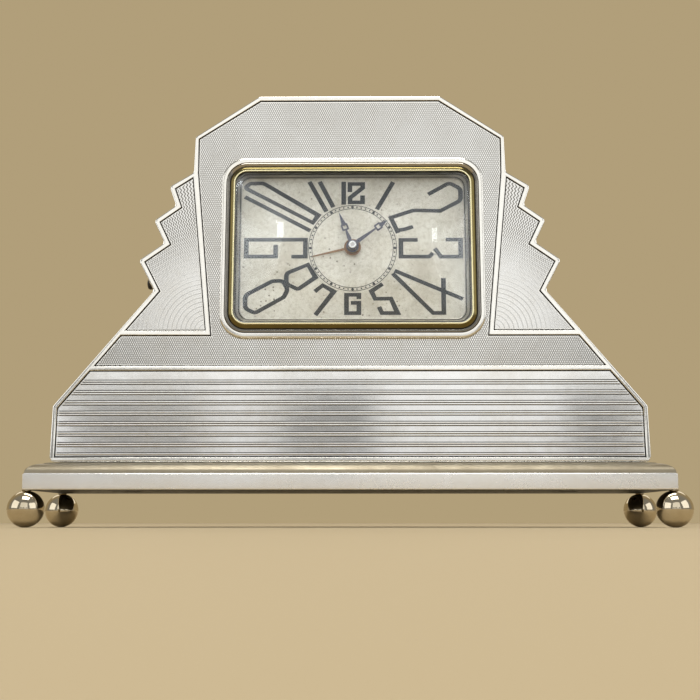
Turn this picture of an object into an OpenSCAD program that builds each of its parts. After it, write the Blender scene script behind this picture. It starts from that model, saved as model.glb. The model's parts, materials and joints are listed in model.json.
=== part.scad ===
// Stepped silver mantel clock with an eight-day alarm movement.
// Origin at the bottom centre. The front faces -Y and Z is up.

/* [Plinth] */
// Width of the plinth
base_w = 254; // [250:1:260]
// Depth of the plinth
base_d = 54; // [50:1:60]
// Underside of the plinth above the ground
base_z = 14.4; // [14.3:0.1:14.6]
// Height of the plinth's upright front edge
base_edge_h = 6.2; // [5:0.1:7]
// Rise of the rounded moulding above the upright edge
ovolo_h = 4.9; // [4:0.1:6]
// Radius of a ball foot
ball_r = 7.1; // [7:0.1:7.2]
// Distance of a ball's centre from the plinth's middle, sideways
ball_x = 125.9; // [120:0.1:126]
// Distance of a ball's centre from the plinth's middle, front to back
ball_y = 24; // [20:0.5:24]

/* [Case] */
// Overall height of the clock
top_z = 179.2; // [178:0.1:181]
// Front face of the silver plate
plate_y = -19; // [-19.5:0.1:-19]
// Thickness of the silver plate
plate_t = 1; // [0.8:0.1:1.2]
// Depth of the panels below their polished rims
recess = 0.35; // [0.2:0.05:0.5]
// Width of the polished rims
rim_w = 1.8; // [1.5:0.1:2]
// Back face of the wood case
case_back_y = 16; // [16:0.5:18]

/* [Dial and bezel] */
// Middle of the dial, to the right of the case's middle
dial_x = 1.2; // [0:0.1:1.5]
// Height of the hands' axis
dial_z = 114.4; // [114:0.1:115]
// Width of the visible dial
dial_w = 92.5; // [90:0.5:93]
// Height of the visible dial
dial_h = 60.1; // [58:0.1:61]
// Length of the hour hand
hour_len = 15.8; // [14:0.2:17]
// Length of the minute hand
minute_len = 18; // [17:0.5:24]
// Length of the alarm hand
alarm_len = 17.2; // [14:0.1:18]
// Hour hand's angle clockwise from twelve
hour_angle = 338.6; // [0:0.1:360]
// Minute hand's angle clockwise from twelve
minute_angle = 54; // [0:0.1:360]
// Alarm hand's angle clockwise from twelve
alarm_angle = 256.6; // [0:0.1:360]

/* [Movement] */
// Width of the brass movement plates
move_w = 92; // [92:1:94]
// Height of the brass movement plates
move_h = 60; // [60:1:61]
// Thickness of the brass movement plates
move_t = 1.5; // [1.2:0.1:1.6]

/* [Hidden] */
$fn = 48;

base_top = base_z + base_edge_h + ovolo_h;
case_foot = base_top + 0.1;
shell_t = 0.8;
lip_t = 0.6;
lip_w = 3;
surround_w = 108.4;
surround_h = 76.6;
bezel_w = 101.2;
bezel_h = 69.2;
bezel_in_w = 96.8;
bezel_in_h = 62.9;
rebate_w = 99.4;
rebate_h = 67;
bezel_pos = [0, -1];
dial_y = -14;
dial_t = 0.7;
front_gap_y = -7.5;
back_gap_y = 6;
bay_w = 96;
bay_h = 64;
door_w = 112;
door_h = 78;
door_t = 2.8;
door_gap = 0.2;
hinge_x = -door_w / 2 - 2.4;
hinge_y = case_back_y + 2.2;
fit = 0.05;

// Right half of the plate's outline from the top down: half-width and height
half_outline = [[38.1, 0], [64.6, -17.8], [65, -33.5], [74.9, -39.6], [72, -47.8], [80.9, -54.2],
    [76.3, -63.8], [86.7, -71.2], [80, -83.9], [119, -131.3], [119.3, -153.5]];
right_side = [for (p = half_outline) [p[0], top_z + p[1]]];
outline = concat(right_side, [for (i = [len(right_side) - 1:-1:0]) [-right_side[i][0], right_side[i][1]]]);

// Places of the movement's arbors from the hands' axis
going_pos = [-21, -6.5];
alarm_pos = [23, -8];
third_pos = [-2.5, 14.18];
fourth_pos = [9.4, 16.9];
escape_pos = [19.33, 15.15];
lever_pos = [26.3, 15.4];
balance_pos = [33.8, 15.7];
minute_pos = [6, -10.392];
set_pos = [-15, 17];
striker_pos = [33.5, 3.2];
hammer_pos = [38.6, -4];
set_pinion_r = norm(set_pos) - 15;
click_angle = 35;
click_out = 3.6;

function dist(a, b) = norm(b - a);
function dir(a, b) = atan2(b[1] - a[1], b[0] - a[0]);

// ---------- shapes used by several parts ----------

// Turns a flat shape drawn as X and Z into a slab between two Y values
module slab(y0, y1) {
    translate([0, y1, 0]) rotate([90, 0, 0]) linear_extrude(y1 - y0) children();
}

// Moves a shape from the hands' axis frame to an arbor
module at(pos) {
    translate([dial_x + pos[0], 0, dial_z + pos[1]]) children();
}

// Cylinder along Y from y0 to y1
module rod(r, y0, y1) {
    translate([0, y1, 0]) rotate([90, 0, 0]) cylinder(r = r, h = y1 - y0);
}

module ring(r_out, r_in, y0, y1) {
    difference() {
        rod(r_out, y0, y1);
        rod(r_in, y0 - 1, y1 + 1);
    }
}

module rounded_rect(w, h, r) {
    square([w - 2 * r, h], center = true);
    square([w, h - 2 * r], center = true);
    for (x = [-1, 1], z = [-1, 1]) translate([x * (w / 2 - r), z * (h / 2 - r)]) circle(r);
}

// Rounded rectangular frame about the middle of the bezel
module frame_slab(w, h, r, in_w, in_h, in_r, y0, y1) {
    at(bezel_pos) slab(y0, y1) difference() {
        rounded_rect(w, h, r);
        rounded_rect(in_w, in_h, in_r);
    }
}

// Flat gear with slim pointed teeth, one of them at angle phase
module gear_2d(teeth, mod, phase) {
    pitch_r = teeth * mod / 2;
    root_r = pitch_r - 1.15 * mod;
    circle(root_r + 0.1 * mod);
    for (i = [0:teeth - 1]) rotate(phase + i * 360 / teeth)
        polygon([[root_r * 0.95, -0.62 * mod], [pitch_r, -0.5 * mod], [pitch_r + 0.75 * mod, -0.14 * mod],
            [pitch_r + 0.75 * mod, 0.14 * mod], [pitch_r, 0.5 * mod], [root_r * 0.95, 0.62 * mod]]);
}

module gear(teeth, mod, phase, y0, y1) {
    slab(y0, y1) gear_2d(teeth, mod, phase);
}

// Gear wheel crossed out to spokes
module wheel(teeth, mod, phase, y0, y1, spokes) {
    pitch_r = teeth * mod / 2;
    rim_in = pitch_r - 1.2 * mod - 1.1;
    hub_r = max(1.6, pitch_r * 0.2);
    slab(y0, y1) {
        difference() {
            gear_2d(teeth, mod, phase);
            circle(rim_in);
        }
        circle(hub_r);
        for (i = [0:spokes - 1]) rotate(i * 360 / spokes)
            translate([(rim_in + 0.5) / 2, 0]) square([rim_in + 0.5, 1.1], center = true);
    }
}

// Saw-toothed ratchet wheel
module ratchet(r, teeth, y0, y1) {
    slab(y0, y1) {
        circle(r - 0.9);
        for (i = [0:teeth - 1]) rotate(i * 360 / teeth)
            polygon([[r - 1.2, 0], [r, 0], [r - 1.2, 2.2 * r * PI / teeth]]);
    }
}

// Flat coil of strip between two radii
module coil(r_in, r_out, turns, t, y0, y1, turn_sign) {
    steps = turns * 24;
    slab(y0, y1) for (i = [0:steps - 1])
        rotate(turn_sign * i * 15)
            translate([r_in + (r_out - r_in) * (i + 0.5) / steps, 0])
                rotate(turn_sign * atan((r_out - r_in) / steps / (r_in * 0.2618)) * -0.5)
                    square([t, 2 * (r_in + (r_out - r_in) * (i + 1) / steps) * tan(7.5) + 0.3 * t], center = true);
}

// ---------- plinth ----------

function edge_curve(half, top, inset) = [for (a = [0:15:90])
    [half - inset - 5.6 * (1 - cos(a)), top - ovolo_h + 3.9 * sin(a)]];

function tray_half(half, low, top, inset) = concat([[half - inset, low]],
    edge_curve(half, top - inset, inset), [[half - 9.2 - inset, top - inset]]);

function tray_profile(half, low, top, inset) = let (side = tray_half(half, low, top, inset))
    concat(side, [for (i = [len(side) - 1:-1:0]) [-side[i][0], side[i][1]]]);

// Plinth block with the rounded moulding mitred round its four sides
module plinth_block(low, inset) {
    intersection() {
        translate([0, base_d / 2 + 1, 0]) rotate([90, 0, 0]) linear_extrude(base_d + 2)
            polygon(tray_profile(base_w / 2, low, base_top, inset));
        translate([-base_w / 2 - 1, 0, 0]) rotate([90, 0, 90]) linear_extrude(base_w + 2)
            polygon(tray_profile(base_d / 2, low, base_top, inset));
    }
}

module box(w, d, z0, z1) {
    translate([-w / 2, -d / 2, z0]) cube([w, d, z1 - z0]);
}

module stud_holes() {
    for (x = [-1, 1], y = [-1, 1]) translate([x * (ball_x - 4.5), y * (ball_y - 3), base_z - 1])
        cylinder(r = 1.25, h = 5.5);
}

module screw_holes(r, z0, z1) {
    for (x = [-1, 1]) translate([x * 90, 0, z0]) cylinder(r = r, h = z1 - z0);
}

module base_shell() {
    color("silver") difference() {
        plinth_block(base_z, 0);
        difference() {
            plinth_block(base_z - 1, shell_t);
            difference() {
                box(base_w, base_d, base_z - 2, base_z + lip_t);
                box(base_w - 2 * lip_w, base_d - 2 * lip_w, base_z - 3, base_z + 2);
            }
        }
        stud_holes();
        screw_holes(2.2, base_top - 3, base_top + 1);
    }
}

module base_core() {
    color("saddlebrown") difference() {
        intersection() {
            plinth_block(base_z, shell_t);
            box(base_w, base_d, base_z + lip_t, base_top);
        }
        stud_holes();
        screw_holes(2.2, base_z - 1, base_top + 1);
        screw_holes(4.2, base_z - 1, base_z + 4);
    }
}

module base_board() {
    color("black") difference() {
        box(base_w - 2 * lip_w - 0.2, base_d - 2 * lip_w - 0.2, base_z, base_z + lip_t);
        stud_holes();
        screw_holes(4.6, base_z - 1, base_z + 4);
    }
}

// Polished ball with a small flat where it rests, a neck and an offset stud under the plinth
module foot(sx, sy) {
    color("silver") {
        difference() {
            translate([sx * ball_x, sy * ball_y, ball_r - 0.02]) sphere(r = ball_r, $fn = 64);
            translate([sx * ball_x, sy * ball_y, -10]) cylinder(r = 3, h = 10);
        }
        translate([sx * (ball_x - 0.4), sy * (ball_y - 0.2), ball_r]) cylinder(r = 1.4, h = base_z - ball_r);
        translate([sx * (ball_x - 4.5), sy * (ball_y - 3), base_z - 0.8]) cylinder(r = 1.2, h = 5.2);
        translate([sx * (ball_x - 2), sy * (ball_y - 1.3), base_z - 0.8]) cylinder(r = 4.6, h = 0.8);
    }
}

module case_screws() {
    color("darkslategray") for (x = [-1, 1]) translate([x * 90, 0, base_z + 1]) {
        cylinder(r = 2, h = 22);
        difference() {
            cylinder(r = 4, h = 2.4);
            translate([-4, -0.4, -1]) cube([8, 0.8, 1.8]);
        }
    }
}

// ---------- case ----------

// Sunk panels: the shield with the middle band, two wings and the reeded foot
module panels() {
    slab(plate_y - 1, plate_y + recess) {
        intersection() {
            offset(delta = -rim_w) polygon(outline);
            union() {
                polygon([[-63.6, top_z], [63.6, top_z], [63.6, 145], [58, 75.4], [106, 75.4],
                    [100, 64.1], [-100, 64.1], [-106, 75.4], [-58, 75.4], [-63.6, 145]]);
                translate([-base_w / 2, 27.4]) square([base_w, 34.9]);
                for (s = [-1, 1]) polygon([[s * 65.6, 150], [s * 95, 150], [s * 95, 77.4], [s * 60, 77.4]]);
            }
        }
    }
}

module front_plate() {
    color("silver") difference() {
        union() {
            slab(plate_y, plate_y + plate_t) polygon(outline);
            slab(plate_y + plate_t - 0.1, plate_y + 5) difference() {
                polygon(outline);
                offset(delta = -0.7) polygon(outline);
            }
        }
        panels();
        at(bezel_pos) slab(plate_y - 1, plate_y + 3) rounded_rect(bezel_w + 0.4, bezel_h + 0.4, 6.3);
    }
}

module button_bore(r) {
    translate([-95, 0, 102.7]) rotate([0, 90, 0]) cylinder(r = r, h = 60);
}

module case_body() {
    color("saddlebrown") difference() {
        slab(plate_y + plate_t, case_back_y) offset(delta = -0.8) polygon(outline);
        at(bezel_pos) slab(plate_y, -6) rounded_rect(rebate_w + 0.4, rebate_h - 0.8, 4);
        at([0, 0]) slab(-7.5, case_back_y + 1) square([bay_w + 12, bay_h + 8], center = true);
        button_bore(2.15);
        translate([-87.5, 0, 102.7]) rotate([0, 90, 0]) cylinder(r = 3.5, h = 9);
        screw_holes(2.05, base_top - 5, base_z + 24);
    }
}

module rear_door() {
    color("saddlebrown") at([0, 0]) difference() {
        translate([-door_w / 2, case_back_y + door_gap, -door_h / 2]) cube([door_w, door_t, door_h]);
        translate([door_w / 2 - 9, 0, 0]) rod(1.6, case_back_y - 1, case_back_y + 8);
    }
}

module knuckle(z0, z1) {
    translate([hinge_x, hinge_y, z0]) difference() {
        cylinder(r = 1.9, h = z1 - z0);
        translate([0, 0, -1]) cylinder(r = 0.9 + fit, h = z1 - z0 + 2);
    }
}

// Leaf screwed to the door's back, with the two outer knuckles
module door_leaf() {
    color("goldenrod") at([0, 0]) {
        for (z = [-1, 1]) {
            knuckle(z * 18 - 6, z * 18 + 6);
            translate([hinge_x + 1.2, case_back_y + door_t + door_gap, z * 18 - 6]) cube([11, 0.9, 12]);
        }
    }
}

// Leaf screwed to the case's back, with the middle knuckle
module hinge_leaf() {
    color("goldenrod") at([0, 0]) {
        knuckle(-11.6, 11.6);
        translate([hinge_x - 10, case_back_y, -11.6]) cube([9.2, 1, 23.2]);
    }
}

module hinge_pin() {
    color("goldenrod") at([0, 0]) translate([hinge_x, hinge_y, -25]) {
        cylinder(r = 0.9, h = 50);
        translate([0, 0, -1]) cylinder(r = 1.5, h = 1.6);
        translate([0, 0, 49.4]) cylinder(r = 1.5, h = 1.6);
    }
}

module door_knob() {
    color("goldenrod") at([door_w / 2 - 9, 0]) translate([0, case_back_y + door_gap, 0]) rotate([-90, 0, 0])
        rotate_extrude() polygon([[0, 0], [1.6, 0], [1.6, door_t], [2.6, door_t], [2, door_t + 1.4],
            [3.6, door_t + 3], [4, door_t + 4.4], [3, door_t + 5.6], [0, door_t + 6]]);
}

// Turn button that holds the door shut
module door_turn() {
    color("goldenrod") at([door_w / 2 + 5.5, 0]) {
            slab(case_back_y + door_t + door_gap + 0.2, case_back_y + door_t + door_gap + 1.4)
            square([5, 14], center = true);
        rod(1.6, case_back_y, case_back_y + 5);
        rod(2.6, case_back_y + 4.2, case_back_y + 5.6);
    }
}

module alarm_stop_button() {
    color("dimgray") translate([-88.4, 0, 102.7]) rotate([0, 90, 0]) {
        cylinder(r = 3.2, h = 5);
        cylinder(r = 2.1, h = 38);
    }
}

// ---------- bezel, glass and dial ----------

module bezel_surround() {
    color("silver") {
        frame_slab(surround_w, surround_h, 9, bezel_w + 0.2, bezel_h + 0.2, 6.2, plate_y - 0.8, plate_y);
        frame_slab(surround_w - 1.6, surround_h - 1.6, 8.2, bezel_w + 0.2, bezel_h + 0.2, 6.2,
            plate_y - 1.6, plate_y - 0.8);
    }
}

// Gilt frame with a rebate behind its crest for the edge of the glass
module bezel() {
    color("goldenrod") {
        frame_slab(bezel_w, bezel_h, 6.1, bezel_in_w, bezel_in_h, 5, plate_y - 1.6, plate_y - 1.2);
        frame_slab(bezel_w - 1.8, bezel_h - 1.8, 5.6, bezel_in_w, bezel_in_h, 5, plate_y - 2.4, plate_y - 1.6);
        frame_slab(bezel_w, bezel_h, 6.1, rebate_w, rebate_h, 5.6, plate_y - 1.2, plate_y + plate_t);
    }
}

module dome(shift, shrink) {
    at(bezel_pos) hull() {
        slab(plate_y - 1.8 + shift, plate_y - 0.6 + shift)
            rounded_rect(bezel_in_w - 0.4 - shrink, bezel_in_h - 0.4 - shrink, 5, $fn = 32);
        slab(plate_y - 4.4 + shift, plate_y - 4.3 + shift)
            rounded_rect(bezel_in_w - 10 - shrink, bezel_in_h - 9 - shrink, 8, $fn = 32);
        slab(plate_y - 5.9 + shift, plate_y - 5.8 + shift)
            rounded_rect(bezel_in_w - 34 - shrink, bezel_in_h - 26 - shrink, 14, $fn = 32);
        slab(plate_y - 6.4 + shift, plate_y - 6.3 + shift)
            rounded_rect(bezel_in_w - 62 - shrink, bezel_in_h - 44 - shrink, 9, $fn = 32);
    }
}

// Cushion glass with a flat edge that sits in the bezel's rebate
module glass() {
    color("lightcyan", 0.3) difference() {
        union() {
            dome(0, 0);
            at(bezel_pos) slab(plate_y - 1.2, plate_y) rounded_rect(rebate_w - 0.4, rebate_h - 0.4, 5.2, $fn = 32);
        }
        dome(1.6, 2);
        at(bezel_pos) slab(plate_y - 0.5, plate_y + 1) rounded_rect(bezel_in_w - 2.4, bezel_in_h - 2.4, 4, $fn = 32);
    }
}

// Silvered slope from the back of the glass down to the dial's edge
module sight_ring() {
    color("silver") difference() {
        at(bezel_pos) slab(plate_y, dial_y) rounded_rect(rebate_w - 0.4, rebate_h - 1.4, 5.8);
        at(bezel_pos) slab(plate_y - 1, plate_y + 2.5) rounded_rect(bezel_in_w - 0.8, bezel_in_h - 0.8, 5);
        at([0, 0]) slab(plate_y + 2, dial_y + 1) rounded_rect(dial_w, dial_h, 3);
    }
}

module dial() {
    color("tan") at([0, 0]) {
        difference() {
            slab(dial_y, dial_y + dial_t) square([dial_w + 3, dial_h + 3], center = true);
            rod(3, dial_y - 1, dial_y + 2);
        }
        for (x = [-1, 1], z = [-1, 1]) translate([x * 41, 0, z * 26]) rod(1.2, dial_y + dial_t, front_gap_y);
    }
}

// Thick bar from a to b with square ends
module bar(a, b, w) {
    translate(a) rotate(dir(a, b)) translate([-w / 2, -w / 2]) square([dist(a, b) + w, w]);
}

module stroke(points, w) {
    for (i = [0:len(points) - 2]) bar(points[i], points[i + 1], w);
}

// Twelve stretched numerals, each a few bars; places are from the hands' axis
numeral_strokes = [
    [[-3.7, 28], [-3.7, 19.4]],
    [[-1.1, 24.9], [-1.1, 27.7], [4.3, 27.7], [4.3, 26], [-1, 21.7], [-1, 19.7], [4.2, 19.7], [4.2, 22]],
    [[16.7, 27.9], [10.6, 17.3]],
    [[32.3, 23.5], [38.8, 27.2], [40.9, 27.7], [43.8, 26.4], [45.2, 23.9], [44.9, 21.1], [36.7, 15.9],
        [29, 16.1], [23.5, 15.5], [19, 14.3], [15.8, 13]],
    [[16.4, 12.3], [18.8, 7.2], [21.5, 8], [24.5, 8.9]],
    [[26.4, 3.4], [20.1, 3.4], [20.1, -3.7], [31.8, -3.7], [32.8, -2.8]],
    [[39.4, 3.5], [44.8, 3.5], [44.8, -3.8], [36.7, -3.8], [34.5, -0.9]],
    [[44.7, -21.5], [17.6, -9.9]],
    [[17.2, -11.4], [33.1, -27.6], [37.5, -27.6], [37.5, -13.7]],
    [[11.8, -15.7], [7.8, -18.4], [9.3, -21.6], [15.8, -21.5], [18.5, -27.6], [12.1, -27.6], [11.2, -25.6]],
    [[2.6, -21.2], [2.6, -19.9], [-2.5, -19.9], [-2.5, -27.6], [2.6, -27.6], [2.6, -23.3], [0, -23.3]],
    [[-15, -18], [-12.3, -15.9], [-7.7, -18.5], [-14.9, -27.8]],
    [[-44, -20.6], [-33.4, -14.3], [-29.8, -14.2], [-27.5, -17], [-28.4, -20.6], [-39.2, -27], [-42.4, -26.6],
        [-44, -23.8], [-44, -20.6]],
    [[-18.5, -7.1], [-15.3, -12.5], [-22.2, -17.1], [-26.4, -15.6], [-27.3, -12.4], [-25.6, -9.9], [-18.5, -7.1]],
    [[-24.7, -3.6], [-19.6, -3.6], [-19.6, 3.6], [-44.1, 3.6], [-44.1, -3.6], [-31.9, -3.6], [-31.9, 0.8]],
    [[-44.4, 21.8], [-18.3, 7.8]],
    [[-44.2, 26], [-42.6, 27.7], [-37.6, 27.9], [-35.4, 27.1], [-14.3, 14.1], [-16.6, 10.9], [-44.2, 26]],
    [[-17.7, 28], [-11.3, 16.4]],
    [[-13.4, 28], [-8.3, 18.2]]];

module dial_numerals() {
    color("darkslategray") at([0, 0]) slab(dial_y - 0.12, dial_y) intersection() {
        for (points = numeral_strokes) stroke(points, 1.7);
        difference() {
            square([dial_w - 0.4, dial_h - 0.4], center = true);
            circle(r = 18.6);
        }
    }
}

module dial_track() {
    color("darkslategray") at([0, 0]) {
        ring(18.45, 18.25, dial_y - 0.12, dial_y);
        ring(17, 16.8, dial_y - 0.12, dial_y);
        for (i = [0:59]) rotate([0, i * 6, 0]) translate([17.6, 0, 0])
            rod(i % 5 == 0 ? 0.42 : 0.24, dial_y - 0.12, dial_y, $fn = 16);
    }
}

// ---------- hands ----------

// Spear hand with an open square; drawn along +Z, then turned clockwise
module spear_hand(length, angle, square_at, hub_r, bore_r, y0, y1) {
    start = (hub_r + bore_r) / 2;
    foot = square_at - 1.45;
    head = square_at + 1.45;
    at([0, 0]) rotate([0, angle, 0]) {
        ring(hub_r, bore_r, y0, y1);
        slab(y0, y1) difference() {
            polygon([[-0.6, start], [-0.8, start + 1.6], [-0.35, foot], [-1.45, foot], [-1.45, head],
                [-0.95, head], [0, length], [0.95, head], [1.45, head], [1.45, foot], [0.35, foot],
                [0.8, start + 1.6], [0.6, start]]);
            translate([0, square_at]) square(1.5, center = true);
        }
    }
}

module minute_hand() {
    color("slateblue") spear_hand(minute_len, minute_angle, 13.2, 2.1, 0.8, -19, -18.5);
}

module hour_hand() {
    color("slateblue") spear_hand(hour_len, hour_angle, 8.7, 2.8, 1.9, -17.2, -16.7);
}

module alarm_hand() {
    color("peru") at([0, 0]) rotate([0, alarm_angle, 0]) {
        ring(3.5, 2.5, -15.5, -15.1);
        slab(-15.5, -15.1) polygon([[-0.35, 3], [-0.15, alarm_len], [0.15, alarm_len], [0.35, 3]]);
    }
}

// ---------- motion work ----------

module centre_arbor() {
    color("gray") at([0, 0]) {
        rod(0.8, -19.4, 13.6);
        rod(1.3, -18.5, -8);
        gear(12, 0.5, dir([0, 0], minute_pos) + 15, -8.9, -8);
        rod(1.5, -19.8, -19);
    }
}

module set_knob() {
    color("goldenrod") at([0, 0]) difference() {
        union() {
            rod(4.5, 11, 14.6);
            rod(2, 9.6, 11);
        }
        rod(0.8, 8, 13.6);
        for (i = [0:23]) rotate([0, i * 15, 0]) translate([4.6, 0, 0]) rod(0.35, 10, 15, $fn = 8);
    }
}

module hour_wheel() {
    color("goldenrod") at([0, 0]) difference() {
        union() {
            gear(48, 0.4, dir([0, 0], minute_pos) + 3.75, -10.2, -9.6);
            rod(1.9, -17.2, -9.6);
        }
        rod(1.3 + fit, -20, -9);
    }
}

module minute_wheel() {
    color("goldenrod") at(minute_pos) difference() {
        union() {
            wheel(36, 0.5, dir(minute_pos, [0, 0]), -8.8, -8.1, 4);
            gear(12, 0.4, dir(minute_pos, [0, 0]), -10.4, -8.8);
        }
        rod(0.8, -12, -7);
    }
}

module alarm_wheel() {
    color("goldenrod") at([0, 0]) difference() {
        union() {
            gear(60, 0.5, dir([0, 0], set_pos) + 3, -11.6, -11);
            rod(2.5, -15.5, -11);
        }
        rod(1.9 + fit, -16, -10);
    }
}

module alarm_set_arbor() {
    color("goldenrod") at(set_pos) {
        gear(30, 2 * set_pinion_r / 30, dir(set_pos, [0, 0]), -11.9, -10.7);
        rod(1, -12.3, 13.6);
    }
}

module alarm_set_knob() {
    color("goldenrod") at(set_pos) difference() {
        union() {
            rod(3.2, 11, 14.2);
            rod(1.7, 9.6, 11);
        }
        rod(1, 8, 13.6);
        for (i = [0:17]) rotate([0, i * 20, 0]) translate([3.3, 0, 0]) rod(0.3, 10, 15, $fn = 8);
    }
}

// ---------- movement frame ----------

pillar_x = 42.5;
pillar_z = 26.5;

module movement_plate(y0) {
    difference() {
        at([0, 0]) slab(y0, y0 + move_t) square([move_w, move_h], center = true);
        children();
    }
}

module pivot_hole(pos, r) {
    at(pos) rod(r + fit, -9, 9);
}

module click_hole(pos, r, side) {
    at(pos) rotate([0, side * click_angle, 0]) translate([0, 0, r + click_out]) rod(1 + fit, 5, 9);
}

module movement_front_plate() {
    color("goldenrod") {
        difference() {
            at([0, 0]) slab(front_gap_y, front_gap_y + move_t) square([move_w + 14, move_h + 8], center = true);
            pivot_hole([0, 0], 0.8);
            pivot_hole(set_pos, 1);
            pivot_hole(going_pos, 1.5);
            pivot_hole(alarm_pos, 1.5);
            for (pos = [third_pos, fourth_pos, escape_pos, lever_pos, balance_pos, striker_pos])
                pivot_hole(pos, 0.5);
        }
        at(minute_pos) rod(0.75, -11, front_gap_y);
    }
}

module movement_back_plate() {
    color("goldenrod") movement_plate(back_gap_y) {
        pivot_hole([0, 0], 0.8);
        pivot_hole(set_pos, 1);
        pivot_hole(going_pos, 1.5);
        pivot_hole(alarm_pos, 1.5);
        for (pos = [third_pos, fourth_pos, escape_pos, lever_pos, balance_pos, striker_pos])
            pivot_hole(pos, 0.5);
        for (x = [-1, 1], z = [-1, 1]) at([x * pillar_x, z * pillar_z]) rod(1.25, 5, 9);
        click_hole(going_pos, 6, -1);
        click_hole(alarm_pos, 5.2, 1);
    }
}

module pillars() {
    color("goldenrod") for (x = [-1, 1], z = [-1, 1]) at([x * pillar_x, z * pillar_z]) difference() {
        rod(2.4, front_gap_y + move_t, back_gap_y);
        rod(1.2, 2, 9);
    }
}

module movement_screws() {
    color("steelblue") for (x = [-1, 1], z = [-1, 1]) at([x * pillar_x, z * pillar_z]) difference() {
        union() {
            rod(1.2, 2.2, back_gap_y + move_t);
            rod(2.3, back_gap_y + move_t, back_gap_y + move_t + 1.3);
        }
        translate([-3, back_gap_y + move_t + 0.7, -0.25]) cube([6, 2, 0.5]);
    }
}

// ---------- power ----------

// Toothed drum with a cavity for its mainspring and a hole for its arbor
module barrel(pos, teeth, mod, phase, drum_r) {
    color("goldenrod") at(pos) difference() {
        union() {
            gear(teeth, mod, phase, -3.9, -3);
            rod(drum_r, -3, 4.5);
        }
        ring(drum_r - 0.9, 2.4, -2.2, 3.7);
        rod(1.5 + fit, -6, 6);
    }
}

module going_barrel() {
    barrel(going_pos, 76, 0.5, dir(going_pos, [0, 0]), 15.5);
}

module alarm_barrel() {
    barrel(alarm_pos, 48, striker_mod, dir(alarm_pos, striker_pos), 10.6);
}

module going_spring() {
    color("steelblue") at(going_pos) coil(3, 13.9, 8, 0.45, -1.9, 3.4, 1);
}

module alarm_spring() {
    color("steelblue") at(alarm_pos) coil(3, 9, 5, 0.45, -1.9, 3.4, 1);
}

module winding_arbor(pos, r) {
    color("gray") at(pos) {
        rod(1.5, -7.4, 12);
        ratchet(r, 20, 8, 9.2);
    }
}

module going_arbor() {
    winding_arbor(going_pos, 6);
}

module alarm_arbor() {
    winding_arbor(alarm_pos, 5.2);
}

// Click pivoted on the back plate; its beak stands just clear of the ratchet
module click(pos, r, side) {
    tip_r = r + 0.35;
    color("steelblue") at(pos) rotate([0, side * click_angle, 0]) {
        translate([0, 0, r + click_out]) rod(1, back_gap_y + 0.2, 9.6);
        slab(8.1, 9.1) {
            translate([0, r + click_out]) circle(1.8);
            polygon([[side, r + click_out + 1.5], [-side * 1.1, r + click_out - 1.4],
                [-side * tip_r * sin(40), tip_r * cos(40)], [-side * (tip_r + 1.1) * sin(42), (tip_r + 1.1) * cos(42)]]);
        }
    }
}

module going_click() {
    click(going_pos, 6, -1);
}

module alarm_click() {
    click(alarm_pos, 5.2, 1);
}

// Butterfly winding key on the squared end of an arbor
module key(pos, span) {
    color("goldenrod") at(pos) difference() {
        union() {
            rod(3, 9.6, 12.4);
            rotate([0, 20, 0]) translate([0, 0, -0.75]) linear_extrude(1.5) {
                translate([-2, 11]) square([4, 4]);
                for (s = [-1, 1]) translate([s * span * 0.27, 13]) difference() {
                    circle(span * 0.23, $fn = 24);
                    circle(span * 0.1, $fn = 24);
                    translate([-span, 2.3]) square([2 * span, 5]);
                    translate([-span, -7.4]) square([2 * span, 5]);
                }
            }
        }
        rod(1.5, 9, 12);
    }
}

module going_key() {
    key(going_pos, 20);
}

module alarm_key() {
    key(alarm_pos, 18);
}

// ---------- going train ----------

// Gear modules that bring each pair to its centre distance
third_mod = 2 * norm(third_pos) / (64 + 8);
fourth_mod = 2 * dist(fourth_pos, third_pos) / (60 + 8);
escape_mod = 2 * dist(escape_pos, fourth_pos) / (56 + 7);
striker_mod = 2 * dist(striker_pos, alarm_pos) / (48 + 10);

module centre_wheel() {
    color("goldenrod") at([0, 0]) difference() {
        union() {
            wheel(64, third_mod, dir([0, 0], third_pos), -5.4, -4.7, 5);
            gear(12, 0.5, dir([0, 0], going_pos) + 15, -4.7, -2.6);
            rod(1.6, -5.6, -2);
        }
        rod(0.8 + fit, -7, 7);
    }
}

module train_arbor(pos) {
    at(pos) rod(0.5, -7.4, 7.4);
}

module third_wheel() {
    color("goldenrod") {
        train_arbor(third_pos);
        at(third_pos) {
            gear(8, third_mod, dir(third_pos, [0, 0]) + 22.5, -5.8, -4.2);
            wheel(60, fourth_mod, dir(third_pos, fourth_pos), 3.4, 4, 4);
        }
    }
}

module fourth_wheel() {
    color("goldenrod") {
        train_arbor(fourth_pos);
        at(fourth_pos) {
            gear(8, fourth_mod, dir(fourth_pos, third_pos) + 22.5, 3, 4.6);
            wheel(56, escape_mod, dir(fourth_pos, escape_pos), -1.6, -1, 4);
        }
    }
}

module escape_wheel() {
    color("goldenrod") {
        train_arbor(escape_pos);
        at(escape_pos) {
            gear(7, escape_mod, dir(escape_pos, fourth_pos) + 180 / 7, -2.2, -0.4);
            slab(1, 1.6) {
                difference() {
                    circle(3.4);
                    circle(2.4);
                }
                circle(1.2);
                for (i = [0:3]) rotate(i * 90) translate([1.6, 0]) square([2.4, 0.7], center = true);
                for (i = [0:14]) rotate(i * 24) polygon([[3.2, -0.5], [4.4, 0.3], [4.4, 0.6], [3.2, 0.3]]);
            }
        }
    }
}

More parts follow.
